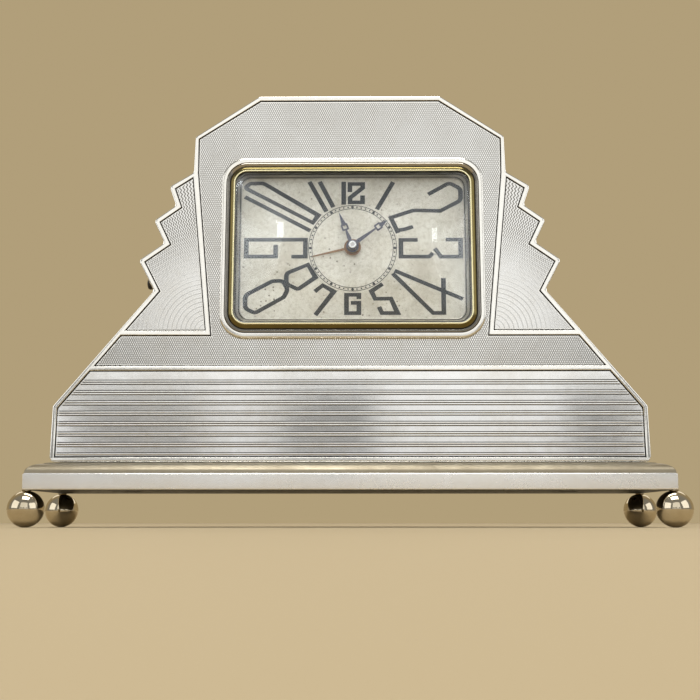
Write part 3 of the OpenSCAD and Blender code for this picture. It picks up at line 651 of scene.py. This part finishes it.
def build_barleycorn():
    """Upright diamond grains in staggered rows over the shield and the middle band."""
    def point(i, j):
        depth = 0.0 if (i + j) % 2 == 0 else GRAIN_D
        return (i * GRAIN_W / 2, PLATE_Y + SUNK + depth, j * GRAIN_H / 2)

    columns = int(LATTICE_HALF_W / GRAIN_W * 2)
    cells = []
    for i in range(-columns, columns):
        for j in range(int(LATTICE_LOW_Z / GRAIN_H * 2), int(TOP_Z / GRAIN_H * 2)):
            a, b, c, d = (i, j), (i + 1, j), (i + 1, j + 1), (i, j + 1)
            cells += [(a, b, d), (b, c, d)] if (i + j) % 2 == 0 else [(a, b, c), (a, c, d)]
    finish = engraved("silver_barleycorn", (0.92, 0.92, 0.9), (0.7, 0.66, 0.58), 0.22,
                      lattice_valley, 0.7)
    patterned("barleycorn_panel", panels["shield"], point, cells, finish)


RAY_STEP = radians(1.3)  # angle between neighbouring cuts of the fan
WAVE = 1.85  # length of one wave along a cut
WAVE_SWING = 0.3
FAN_START = 1.0  # radius where the cuts begin
FAN_CALM = 6.0  # within this radius the waves swing by a smaller angle
FAN_SPREAD = radians(98)
FAN_REACH = 70
FAN_DEPTH = 0.032


def fan_valley(m):
    """The wavy cuts of a wing, laid out round the focus as in build_fan, with painted reflection rings
    across them.
    """
    x, z = m.place()
    dx = m.math("SUBTRACT", m.math("ABSOLUTE", x), FAN_FOCUS[0])
    dz = m.math("SUBTRACT", z, FAN_FOCUS[1])
    r = m.math("SQRT", m.math("ADD", m.math("MULTIPLY", dx, dx), m.math("MULTIPLY", dz, dz)))
    wave = m.math("SINE", m.math("MULTIPLY", m.math("SUBTRACT", r, FAN_START), 2 * pi / WAVE))
    swing = m.math("DIVIDE", m.math("MULTIPLY", wave, WAVE_SWING), m.math("MAXIMUM", r, FAN_CALM))
    angle = m.math("SUBTRACT", m.math("ARCTAN2", dz, dx), swing)
    line = m.math("PINGPONG", m.math("DIVIDE", angle, RAY_STEP / 2), 1)
    # rings across the cuts, where the waves turn, are painted reflection bands; the surface has no
    # hollow there
    arc = m.math("PINGPONG", m.math("DIVIDE", r, WAVE / 2), 1)
    arc = m.math("MULTIPLY", arc, m.span(r, 0.58, 0, 18, 46))
    return m.math("MAXIMUM", arc, m.math("MULTIPLY", line, m.span(r, 0.4, 1.0, 12, 42)))


def build_fan(side, finish):
    """Wavy cuts that fan out from the wing's inner lower corner."""
    rows_per_wave = 6

    def point(i, j):
        r = FAN_START + j * WAVE / rows_per_wave
        swing = WAVE_SWING / max(r, FAN_CALM) * sin(2 * pi * j / rows_per_wave)
        a = i * RAY_STEP / 2 + swing
        depth = min(FAN_DEPTH, r * RAY_STEP * 0.03) if i % 2 else 0.0
        x, z = FAN_FOCUS[0] + r * cos(a), FAN_FOCUS[1] + r * sin(a)
        return (side * x, PLATE_Y + SUNK + depth, z)

    cells = [((i, j), (i + 1, j), (i + 1, j + 1), (i, j + 1))
             for i in range(-2, int(FAN_SPREAD / RAY_STEP * 2))
             for j in range(int(FAN_REACH / WAVE * rows_per_wave))]
    name = "wing_right" if side > 0 else "wing_left"
    patterned("fan_" + name, panels[name], point, cells, finish)


REED_TOP = 57.5  # middle of the topmost group of cut lines
REED_STEP = 4.17  # from group to group
REED_COUNT = 8
REED_PITCH = 0.9  # from line to line within a group
REED_RISE = 0.02  # how far a reed stands out between two lines
CUT_W = 0.34  # breadth of one cut line
CUT_D = 0.2


def build_reeding():
    """Groups of three cut lines with round reeds between them, on flat polished bands."""
    edge = GROOVE_W + 0.08
    # (height, depth) from the foot up
    profile = [(PANEL_FOOT_Z + edge, 0.0)]
    for g in reversed(range(REED_COUNT)):
        middle = REED_TOP - g * REED_STEP
        for k in (-1, 0, 1):
            z = middle + k * REED_PITCH
            if z < PANEL_FOOT_Z + 0.7:
                continue
            profile += [(z - CUT_W / 2, 0.0), (z - CUT_W / 4, CUT_D),
                        (z + CUT_W / 4, CUT_D), (z + CUT_W / 2, 0.0)]
            if k < 1:
                profile += [(z + CUT_W, -REED_RISE), (z + REED_PITCH - CUT_W, -REED_RISE)]
    profile.append((REEDS_TOP_Z - edge, 0.0))
    slope_foot_z = nearest(inner, right_side[SLOPE_FOOT])[1]
    steps = 60
    m = Mesh()
    verts = []
    for z, d in profile:
        half = diagonal_x(z) - edge * 1.3 if z > slope_foot_z else FOOT_HALF_W - edge
        verts += [(half * (2 * i / steps - 1), PLATE_Y + SUNK + d, z) for i in range(steps + 1)]
    n = steps + 1
    faces, tags = [], []
    for j in range(len(profile) - 1):
        cut = max(profile[j][1], profile[j + 1][1]) == CUT_D
        for i in range(steps):
            low, high = j * n + i, (j + 1) * n + i
            faces.append((low, low + 1, high + 1, high))
            tags.append(int(cut))
    m.add(verts, faces)
    m.tags = tags
    m.piece("reeded_panel", "case", [silver_reeded, patina_and_painted_shade], angle=50)


build_plate()
build_barleycorn()
silver_fan = engraved("silver_fan", (0.84, 0.84, 0.825), (0.66, 0.62, 0.54), 0.2,
                      fan_valley, 0.9)
build_fan(1, silver_fan)
build_fan(-1, silver_fan)
build_reeding()


# ---- plinth and feet
OVOLO_W, OVOLO_H = 5.6, 3.9  # the rounded moulding above the plinth's upright edge
BALL = 7.1  # radius of a foot


def build_plinth():
    """Pressed silver tray: turned-in lip, upright edge, rounded moulding and flat top."""
    rise = BASE_TOP - BASE_Z
    # (inset, height over the plinth's underside), from the lip underneath to the top
    lip = [(3.0, 0.6), (3.0, 0.0), (0.5, 0.0)]
    upright = [(0.12, 0.12), (0.0, 0.5), (0.0, 5.9), (0.1, 6.2)]
    turns = [radians(10 * k) for k in range(1, 10)]
    ovolo = [(0.35, 6.45)]
    ovolo += [(OVOLO_W * (1 - cos(a)) + 0.35, 6.5 + OVOLO_H * sin(a)) for a in turns]
    ovolo += [(6.3, 10.75)]
    profile = lip + upright + ovolo + [(7.6, 10.95), (9.2, rise)]
    rings = []
    for d, h in profile:
        pts = round_rect(BASE_W - 2 * d, BASE_D - 2 * d, 0.45, steps=3)
        rings.append([(x, y, BASE_Z + h) for x, y in pts])
    m = Mesh()
    # the lip underneath takes the dark patina as painted shade, the rounded moulding a painted brown
    # reflection
    m.ring_stack(rings, [2] * 2 + [0] * 5 + [1] * len(ovolo) + [0])
    last = [(x, y) for x, y, z in rings[-1]]
    m.cap(last, [], lambda p: (p[0], p[1], BASE_Z + rise))
    m.piece("plinth_shell", "case", [silver_plinth, ovolo_painted_brown_reflection, patina_and_painted_shade],
            ["base_shell"], angle=40)


def build_feet():
    """Polished balls, flat where they rest, each on a short neck under the plinth."""
    arcs = [radians(a) for a in range(12, 168, 4)]
    profile = [(0, 0.0), (1.0, 0.0)]
    profile += [(BALL * sin(a), BALL - 0.02 - BALL * cos(a)) for a in arcs]
    profile += [(1.5, BASE_Z - 0.55), (1.9, BASE_Z - 0.2), (1.9, BASE_Z + 0.3), (0, BASE_Z + 0.3)]
    for name in ("front_left", "front_right", "back_left", "back_right"):
        low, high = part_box("foot_" + name)
        cx = high.x / MM - BALL if "right" in name else low.x / MM + BALL
        cy = high.y / MM - BALL if "back" in name else low.y / MM + BALL
        m = Mesh()
        lathe(m, profile, (cx, cy, 0), "z", 72)
        m.piece("ball_" + name, "case", [ball_silver_painted_dark_reflection], ["foot_" + name])


build_plinth()
build_feet()


# ---- bezel, glass, dial
MOULD_RATIO = 1.1  # the mouldings are a little broader along the top and bottom
MOULD_CORNER = 10.5  # corner radius of the outermost moulding
SIGHT_BACK = 4.97  # depth of the sight ring's back, just before the dial


def frame_piece(name, profile, materials, tags, replaces):
    """A moulding round the dial; profile is (inset, depth behind the plate's face)."""
    rings = []
    for d, y in profile:
        w, h = SURROUND_W - 2 * d, SURROUND_H - 2 * d * MOULD_RATIO
        shape = round_rect(w, h, MOULD_CORNER - d * 0.95, *BEZEL, 12)
        rings.append(level(shape, PLATE_Y + y))
    m = Mesh()
    m.ring_stack(rings, tags, close=True)
    m.piece(name, "case", materials, replaces, angle=32)


def build_mouldings():
    """Silver moulding and gilt bezel: the bead is painted bright as a highlight, the silver slope and
    gilt hollow painted dark as shade, and they are parted by dark patina lines and walls of painted
    shade.
    """
    crest = [(0, 0.3), (0, -0.45), (0.1, -0.9), (0.38, -1.3), (0.75, -1.5), (1.95, -1.5)]
    groove = [(2.05, -1.4), (2.1, -1.1), (2.3, -1.1)]
    slope = [(2.36, -1.4), (2.5, -1.48), (3.35, -1.14), (3.45, -1.0)]
    # the groove takes dark patina; the back wall behind the slope takes it as painted shade
    frame_piece("silver_moulding", crest + groove + slope + [(3.5, 0.3)],
                [silver_moulding, patina_and_painted_shade, slope_silver_painted_shade],
                [0] * 6 + [1] * 3 + [2] * 4 + [1], ["bezel_surround"])
    hollow = [(3.8, -1.35), (4.0, -1.6), (4.35, -1.85), (4.75, -2.0)]
    bead = [(5.1, -2.1), (5.2, -2.32), (5.4, -2.4), (5.62, -2.36)]
    inner_wall = [(5.76, -2.1), (5.8, -1.7), (5.8, -1.2), (4.5, -1.2), (4.5, 0.9)]
    # the bezel's outer and inner walls take the dark patina as painted shade in the gaps beside the
    # silver and the glass
    frame_piece("gilt_bezel", [(3.62, 0.9), (3.62, -1.2)] + hollow + bead + inner_wall,
                [gilt, gilt_painted_highlight, patina_and_painted_shade],
                [2] * 2 + [0] * 4 + [1] * 4 + [2] * 5, ["bezel"])


def build_sight():
    """Silvered slope from the glass down to the dial, painted darker as shade under the bezel, with
    painted shade in dark patina at its top edge and near its foot.
    """
    # (width, height, corner radius, middle height, depth)
    slope = [(96.4, 62.9, 5.0, BEZEL_Z, -0.02), (95.3, 62.2, 4.8, BEZEL_Z + 0.25, 1.3),
             (93.9, 61.1, 4.3, BEZEL_Z + 0.75, 3.6), (93.5, 60.8, 4.2, BEZEL_Z + 0.85, 4.0),
             (93.1, 60.5, 4.1, BEZEL_Z + 0.9, 4.1), (92.6, 60.1, 4.0, DIAL_Z, 4.4)]
    outside = [(92.6, 60.1, 4.0, DIAL_Z, SIGHT_BACK), (98.8, 65.0, 5.2, BEZEL_Z, SIGHT_BACK),
               (98.8, 65.0, 5.2, BEZEL_Z, -0.02)]
    rings = [level(round_rect(w, h, r, DIAL_X, z, 12), PLATE_Y + y) for w, h, r, z, y in slope + outside]
    m = Mesh()
    # tag 1 is painted shade: along the top edge under the bezel and on the step near the dial
    m.ring_stack(rings, [1, 0, 1, 1, 0, 0, 0, 0, 0], close=True)
    m.piece("sight_slope", "case", [sight_silver_painted_shade, patina_and_painted_shade], ["sight_ring"], angle=32)


build_mouldings()
build_sight()

GLASS_DEPTH = (glass_high.y - glass_low.y) / MM
GLASS_EDGE = 1.2  # depth of the straight edge
GLASS_THICK = 1.15
GLASS_CORNER = 5.2  # radius of the outline's corners
GLASS_POINTS = 176  # points round the outline
GLASS_FLANGE = (2.6, 3.4)  # how much smaller the pillow is than the outline
PILLOW_POWER = (3.2, 2.1)  # how squarely the pillow falls off across and up
PILLOW_RINGS = 26
INNER_SCALE = 0.955  # the inner face against the outer one


def resampled(points, count):
    """A closed outline as evenly spaced points."""
    loop = points + points[:1]
    total = sum(dist(a, b) for a, b in zip(loop, loop[1:]))
    out, walked, k = [], 0.0, 0
    for i in range(count):
        target = total * i / count
        while walked + dist(loop[k], loop[k + 1]) < target:
            walked += dist(loop[k], loop[k + 1])
            k += 1
        (x0, z0), (x1, z1) = loop[k], loop[k + 1]
        t = (target - walked) / max(dist(loop[k], loop[k + 1]), 1e-9)
        out.append((x0 + (x1 - x0) * t, z0 + (z1 - z0) * t))
    return out


def build_glass():
    """Cushion glass: a flat flange under the bezel, then a soft pillow of even thickness."""
    rise = GLASS_DEPTH - GLASS_EDGE
    edge = resampled(round_rect(GLASS_W, GLASS_H, GLASS_CORNER), GLASS_POINTS)
    open_w, open_h = GLASS_W - GLASS_FLANGE[0], GLASS_H - GLASS_FLANGE[1]

    def pillow(x, z):
        u, v = min(1, abs(2 * x / open_w)), min(1, abs(2 * z / open_h))
        return rise * (1 - u ** PILLOW_POWER[0]) * (1 - v ** PILLOW_POWER[1])

    def sheet(scale, y):
        rings = []
        for k in range(PILLOW_RINGS):
            s = scale * (1 - (k / PILLOW_RINGS) ** 1.3)
            rings.append([(DIAL_X + x * s, y - pillow(x * s, z * s), BEZEL_Z + z * s) for x, z in edge])
        return rings

    outer_face = sheet(1.0, GLASS_BACK_Y - GLASS_EDGE)
    inner_face = sheet(INNER_SCALE, GLASS_BACK_Y - GLASS_EDGE + GLASS_THICK)
    rim = [level([(p[0], p[2]) for p in face[0]], GLASS_BACK_Y) for face in (outer_face, inner_face)]
    m = Mesh()
    m.ring_stack(outer_face[::-1] + rim + inner_face)
    m.add(outer_face[-1], [tuple(range(len(edge)))])
    m.add(inner_face[-1], [tuple(range(len(edge)))])
    return m.piece("cushion_glass", "case", [glass_clear], ["glass"], angle=50)


DIAL_THICK = 0.7
DIAL_HOLE = 3.0  # radius of the hole for the hands' pipes
DIAL_POST = (41, 26)  # places of the four dial feet from the hands' axis
DIAL_POST_LENGTH = 6.5


def build_dial():
    """Thin dial plate with its centre hole and the four posts that pin it."""
    m = Mesh()
    sheet = rect((dial_high.x - dial_low.x) / MM, (dial_high.z - dial_low.z) / MM, *HUB)
    hole = circle(DIAL_HOLE, *HUB, 48)
    slab(m, sheet, [hole], DIAL_Y, DIAL_Y + DIAL_THICK, 0.05)
    post = [(0, DIAL_THICK), (1.2, DIAL_THICK), (1.2, DIAL_POST_LENGTH), (0, DIAL_POST_LENGTH)]
    for sx in (-1, 1):
        for sz in (-1, 1):
            lathe(m, post, (DIAL_X + sx * DIAL_POST[0], DIAL_Y, DIAL_Z + sz * DIAL_POST[1]), "y", 24)
    m.piece("dial_plate", "case", [dial_silver], ["dial"])


PEN_W, PEN_H = 1.95, 1.55  # breadth of upright and level strokes
PRINT = 0.06  # thickness of the print on the dial
PRINT_BACK_Y = DIAL_Y - 0.005  # a hair off the dial, so that the faces don't coincide
TRACK_LINES = (18.3, 16.9)  # radii of the minute track's two lines
TRACK_DOTS = 17.6  # radius of its circle of dots
LINE_HALF = 0.13
HOUR_DOT, MINUTE_DOT = 0.58, 0.33

CLOSED_STROKES = {("8", 0), ("8", 1), ("10", 1)}
# Each numeral's strokes about the hands' axis, as (x, z) or (x, z, radius) points
numerals = {
    "12": [[(-3.7, 28.7), (-3.7, 18.7)],
           [(-1.1, 24.2), (-1.1, 27.7), (4.3, 27.7), (4.3, 26.0), (-1.0, 21.7), (-1.0, 19.7),
            (4.2, 19.7), (4.2, 22.7)]],
    "1": [[(17.1, 28.5), (10.2, 16.6)]],
    "2": [[(31.7, 23.1), (40.6, 28.1, 2.4), (45.25, 25.6, 2.4), (45.25, 20.5, 2.4),
           (36.7, 15.9), (25.5, 16.2, 9), (15.1, 12.7)],
          [(16.0, 13.0), (19.0, 6.4)],
          [(18.5, 7.5), (21.8, 8.0), (25.2, 9.1)]],
    "3": [[(27.1, 3.4), (20.1, 3.4), (20.1, -3.75), (31.8, -3.75), (33.4, -2.2)],
          [(38.7, 3.5), (44.85, 3.5), (44.85, -3.8), (36.7, -3.8), (34.1, -0.3)]],
    "4": [[(45.4, -21.8), (17.4, -9.7)],
          [(16.6, -10.9), (33.1, -27.6), (37.5, -27.6), (37.5, -12.9)]],
    "5": [[(12.4, -15.3), (7.8, -18.4), (9.3, -21.6), (15.8, -21.5), (18.5, -27.6),
           (12.1, -27.6), (10.9, -25.0)]],
    "6": [[(2.6, -21.7), (2.6, -19.9), (-2.5, -19.9), (-2.5, -27.6), (2.6, -27.6),
           (2.6, -23.3), (-0.7, -23.3)]],
    "7": [[(-15.6, -18.5), (-12.3, -15.9), (-7.7, -18.5), (-15.3, -28.4)]],
    "8": [[(-44.3, -20.1, 2.6), (-33.2, -14.1, 3), (-28.8, -13.9, 2.4), (-26.8, -17.6, 2.4),
           (-28.3, -20.8, 2.4), (-40.2, -27.6, 2.4), (-44.3, -25.6, 2.4)],
          [(-18.5, -7.1), (-15.3, -12.5), (-22.6, -17.6, 1.6), (-27.4, -15.2, 2),
           (-27.4, -10.8, 2)]],
    "9": [[(-25.4, -3.65), (-19.6, -3.65), (-19.6, 3.6), (-44.15, 3.6), (-44.15, -3.6),
           (-31.95, -3.6), (-31.95, 1.4)]],
    "10": [[(-45.1, 22.2), (-17.6, 7.4)],
           [(-45.3, 26.2, 0.9), (-42.9, 28.05, 1.6), (-37.4, 28.1, 4), (-14.3, 14.1),
            (-16.6, 10.9)]],
    "11": [[(-18.1, 28.7), (-10.9, 15.7)],
           [(-13.8, 28.7), (-8.0, 17.6)]],
}


def build_numerals():
    """Raised print; each stroke is a hair thicker than the last, so that none share a face."""
    m = Mesh()
    thick = PRINT
    for numeral, strokes in numerals.items():
        for k, path in enumerate(strokes):
            closed = (numeral, k) in CLOSED_STROKES
            points = [(DIAL_X + x, DIAL_Z + z) for x, z in smooth_path(path)]
            shape, holes = ribbon(points, PEN_W, PEN_H, closed)
            slab(m, shape, holes, DIAL_Y - thick, PRINT_BACK_Y)
            thick += 0.002
    m.piece("numerals", "case", [numeral_ink], ["dial_numerals"], smooth=False)


def build_track():
    """Two fine circles with a dot for each minute between them, larger at the hours."""
    m = Mesh()
    for r in TRACK_LINES:
        outer, hole = [circle(r + side, *HUB, 120) for side in (LINE_HALF, -LINE_HALF)]
        slab(m, outer, [hole], DIAL_Y - PRINT, PRINT_BACK_Y)
    for i in range(60):
        a = radians(6 * i)
        size = HOUR_DOT if i % 5 == 0 else MINUTE_DOT
        dot = circle(size, DIAL_X + TRACK_DOTS * sin(a), DIAL_Z + TRACK_DOTS * cos(a), 14)
        slab(m, dot, [], DIAL_Y - PRINT, PRINT_BACK_Y)
    m.piece("minute_track", "case", [numeral_ink], ["dial_track"], smooth=False)


glass = build_glass()
build_dial()
build_numerals()
build_track()


# ---- hands
def turned(points, degrees):
    """Points drawn with the hand upright, turned clockwise and moved to the hands' axis."""
    c, s = cos(radians(degrees)), sin(radians(degrees))
    return [(DIAL_X + x * c + z * s, DIAL_Z - x * s + z * c) for x, z in points]


def hand(name, node, body, finish, degrees, shapes, hub, bore, bevel=0.1):
    """A bevelled hand; shapes are (outline, holes) drawn upright, hub and bore are radii."""
    low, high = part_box(node)
    y0, y1 = low.y / MM, high.y / MM
    m = Mesh()
    for k, (shape, holes) in enumerate(shapes):
        slab(m, turned(shape, degrees), [turned(h, degrees) for h in holes], y0 + 0.01 * k, y1, bevel)
    ring, hole = [circle(r, *HUB, 48) for r in (hub, bore)]
    slab(m, ring, [hole], y0 - 0.08, y1 + 0.02, 0.08)
    m.piece(name, body, [finish], [node])


def spear(length, square_at, start):
    """A leaf-shaped shank, an open square and a spearhead whose foot points back into the square."""
    half = 1.45
    shank_end = square_at - half + 0.4
    shank = [(-0.55, start), (0.55, start), (0.85, start + 1.6), (0.3, shank_end), (-0.3, shank_end),
             (-0.85, start + 1.6)]
    square = rounded(rect(2 * half, 2 * half, 0, square_at), 0.45, 3)
    hole = rounded(rect(1.5, 1.5, 0, square_at), 0.2, 3)
    head = [(-0.95, square_at + half), (0, square_at + 0.35), (0.95, square_at + half), (0, length)]
    return [(shank, []), (square, [hole]), (head, [])]


MINUTE_ANGLE, HOUR_ANGLE, ALARM_ANGLE = 54.0, 338.6, 256.6  # clockwise from the 12
pointer = [(-0.48, 2.9), (0.48, 2.9), (0.4, 9.0), (0.22, 17.2), (-0.22, 17.2), (-0.4, 9.0)]
hand("minute_spear", "minute_hand", "minute", hand_steel, MINUTE_ANGLE,
     spear(18.0, 13.2, 1.5), 1.95, 0.8)
hand("hour_spear", "hour_hand", "hour", hand_steel, HOUR_ANGLE,
     spear(15.8, 8.7, 2.2), 2.6, 1.9)
hand("alarm_pointer", "alarm_hand", "alarm_setting", copper, ALARM_ANGLE,
     [(pointer, [])], 3.5, 2.5, 0.05)


def build_collet():
    """Bright washer that holds the minute hand on its arbor, just before the plate."""
    profile = [(0.75, 0.9), (0.75, 0.05), (0.9, -0.08), (1.35, -0.08), (1.6, 0.12), (1.6, 0.9)]
    m = Mesh()
    lathe(m, profile + profile[:1], (DIAL_X, PLATE_Y - 0.75, DIAL_Z), "y", 48)
    m.piece("hand_washer", "minute", [washer_steel])


build_collet()


# ---- wood case and door
BAY = (108, 72)  # width and height of the room for the movement
MOUTH = (99.8, 66.2)  # and of the opening in front of it
SHELF_Y = -7.5  # back of the wood round that opening
CASE_INSET = 0.8  # the wood lies within the plate's turned edge


def build_button():
    """Small black stop button that peeps out beside the lower left wing."""
    low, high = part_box("alarm_stop_button")
    length = (high.x - low.x) / MM
    head = [(0, 1.9), (1.6, 1.95), (2.2, 2.2), (2.5, 2.7), (2.5, 4.6), (2.1, 5.0)]
    m = Mesh()
    lathe(m, head + [(2.1, length - 0.1), (0, length)],
          (low.x / MM, (low.y + high.y) / 2 / MM, (low.z + high.z) / 2 / MM), "x", 40)
    m.piece("stop_button", "alarm_stop", [button_black], ["alarm_stop_button"])


def build_case():
    """Wood block behind the plate with its bay for the movement, edges eased at the back."""
    m = Mesh()
    body = inset(outline, CASE_INSET)
    bay = rect(*BAY, *HUB)
    bay_mouth = inset(bay, -0.4)
    mouth = round_rect(*MOUTH, 4, *BEZEL)
    y0, y1 = PLATE_Y + PLATE_THICK, CASE_BACK_Y
    rings = [(0, y0), (0, y1 - 0.9), (0.12, y1 - 0.5), (0.4, y1 - 0.14), (0.8, y1)]
    m.ring_stack([level(inset(body, d), y) for d, y in rings])
    m.cap(body, [mouth], front(y0))
    m.ring_stack([level(mouth, y0), level(mouth, SHELF_Y)])
    m.cap(bay, [mouth], front(SHELF_Y))
    m.ring_stack([level(bay, SHELF_Y), level(bay, y1 - 0.4), level(bay_mouth, y1)])
    m.cap(inset(body, 0.8), [bay_mouth], front(y1))
    m.piece("wood_case", "case", [case_wood], ["case_body"], angle=30)


def build_door():
    """Plain wood panel with eased edges."""
    low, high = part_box("rear_door")
    w, h = (high.x - low.x) / MM, (high.z - low.z) / MM
    panel = rect(w, h, (low.x + high.x) / 2 / MM, (low.z + high.z) / 2 / MM)
    m = Mesh()
    slab(m, panel, [], low.y / MM, high.y / MM, 0.6)
    m.piece("door_panel", "door", [case_wood], ["rear_door"])


build_button()
build_case()
build_door()

# ---- finishes of the CAD nodes that stay
finishes = {
    "movement_brass": brass, "movement_steel": steel, "blued_steel": blue_steel, "core_wood": core_wood,
    "board_black": board_black, "black_plastic": button_black, "case_wood": case_wood, "copper": copper,
}
slot_of = {s["node"]: s["material_slot"] for s in frame["record"]["subparts"]}
for name, obj in frame["nodes"].items():
    finish = finishes.get(slot_of[name])
    if finish:
        obj.data.materials.clear()
        obj.data.materials.append(finish)


# ---- floor, light and camera
def build_floor():
    """A plain disc three metres in radius, faintly mottled."""
    m = Nodes("floor_paper", Roughness=0.75)
    m.link(m.ramp(m.noise(3, 3), (0.3, (0.46, 0.37, 0.225)), (0.7, (0.49, 0.395, 0.245))), "Base Color")
    edge = circle(3000, steps=96)
    data = bpy.data.meshes.new("floor")
    data.from_pydata([(x * MM, y * MM, 0) for x, y in edge], [], [tuple(range(len(edge)))])
    data.materials.append(m.material)
    add_object("floor", data)


WARM, NEUTRAL, COOL = (1.0, 0.985, 0.95), (1.0, 1.0, 1.0), (0.9, 0.96, 1.0)


def softbox(name, place, target, size, radiance, colour=NEUTRAL):
    """An area lamp of a given radiance, unseen by the camera itself."""
    data = bpy.data.lights.new(name, "AREA")
    data.shape = "RECTANGLE"
    data.size, data.size_y = size
    data.energy = radiance * pi * size[0] * size[1]
    data.color = colour
    obj = add_object(name, data)
    obj.location = place
    obj.rotation_euler = (Vector(target) - Vector(place)).to_track_quat("-Z", "Y").to_euler()
    obj.visible_camera = False
    return obj


def build_world():
    """Dim in front of the clock, paler and warmer behind it."""
    world = bpy.data.worlds.new("studio")
    world.use_nodes = True
    tree = world.node_tree
    new, link = tree.nodes.new, tree.links.new
    coord = new("ShaderNodeTexCoord")
    split = new("ShaderNodeSeparateXYZ")
    ramp = new("ShaderNodeValToRGB")
    reach = new("ShaderNodeMapRange")
    reach.inputs["From Min"].default_value = -1.0
    stops = ((0.45, (0.31, 0.305, 0.29, 1)), (0.75, (0.44, 0.345, 0.195, 1)))
    for e, (pos, colour) in zip(ramp.color_ramp.elements, stops):
        e.position = pos
        e.color = colour
    link(coord.outputs["Generated"], split.inputs[0])
    link(split.outputs["Y"], reach.inputs["Value"])
    link(reach.outputs[0], ramp.inputs[0])
    link(ramp.outputs[0], tree.nodes["Background"].inputs[0])
    scene.world = world


WALL_Y = -1.0  # plane of the lamps mirrored in the silver
CLOCK = (0, 0, 0.09)
DIAL_MIDDLE = (0, 0, 0.11)


def build_lamps():
    """Soft boxes the plate mirrors, four for the glass alone, and the room's fill."""
    # (name, x, z, size, radiance, colour); each faces straight ahead
    for name, x, z, size, radiance, colour in (
            ("key", 0.0, 0.52, (0.84, 0.66), 0.88, (1.0, 0.995, 0.975)),
            ("low_wide", 0.0, 0.05, (1.0, 0.07), 0.5, (0.94, 0.97, 1.0)),
            ("low_left", -0.162, 0.12, (0.11, 0.2), 0.55, NEUTRAL),
            ("low_right", 0.16, 0.12, (0.26, 0.2), 0.65, NEUTRAL),
            ("end_left", -0.415, 0.12, (0.04, 0.2), 0.9, NEUTRAL),
            ("end_right", 0.415, 0.12, (0.04, 0.2), 0.9, NEUTRAL)):
        softbox(name, (x, WALL_Y, z), (x, 0, z), size, radiance, colour)
    receivers = bpy.data.collections.new("seen_in_the_glass")
    receivers.objects.link(glass)
    for name, x, z, size, radiance in (
            ("glint_left", -0.34, 0.53, (0.06, 0.14), 20.0),
            ("glint_right", 0.43, 0.48, (0.05, 0.1), 15.0),
            ("veil_left", -0.62, 0.36, (0.55, 0.34), 2.6),
            ("veil_right", 0.66, 0.36, (0.5, 0.34), 2.6)):
        lamp = softbox(name, (x, WALL_Y, z), DIAL_MIDDLE, size, radiance, COOL)
        lamp.light_linking.receiver_collection = receivers
    softbox("overhead", (0.0, -0.5, 1.6), CLOCK, (1.0, 0.6), 9.0, WARM)
    softbox("far_floor", (0.0, 1.9, 1.3), (0.0, 1.9, 0.0), (3.2, 1.6), 1.0, WARM)
    for name, x in (("left_side", -1.15), ("right_side", 1.15)):
        softbox(name, (x, -0.7, 0.55), CLOCK, (1.1, 0.9), 1.3)


LENS = 51.3  # focal length and sensor width in millimetres
SENSOR = 36
EYE = (0.0033, -0.4157, 0.002)
LOOK_UP = 9.8  # degrees; the photograph was taken from low down
LOOK_LEFT = 0.45


def build_camera():
    data = bpy.data.cameras.new("camera")
    data.sensor_width = SENSOR
    data.lens = LENS
    data.clip_start = 0.001
    camera = add_object("camera", data)
    camera.location = EYE
    camera.rotation_mode = "YXZ"
    camera.rotation_euler = (radians(90 + LOOK_UP), 0, radians(LOOK_LEFT))
    scene.camera = camera
    scene.view_settings.view_transform = "Standard"


build_floor()
build_world()
build_lamps()
build_camera()

bpy.context.view_layer.update()
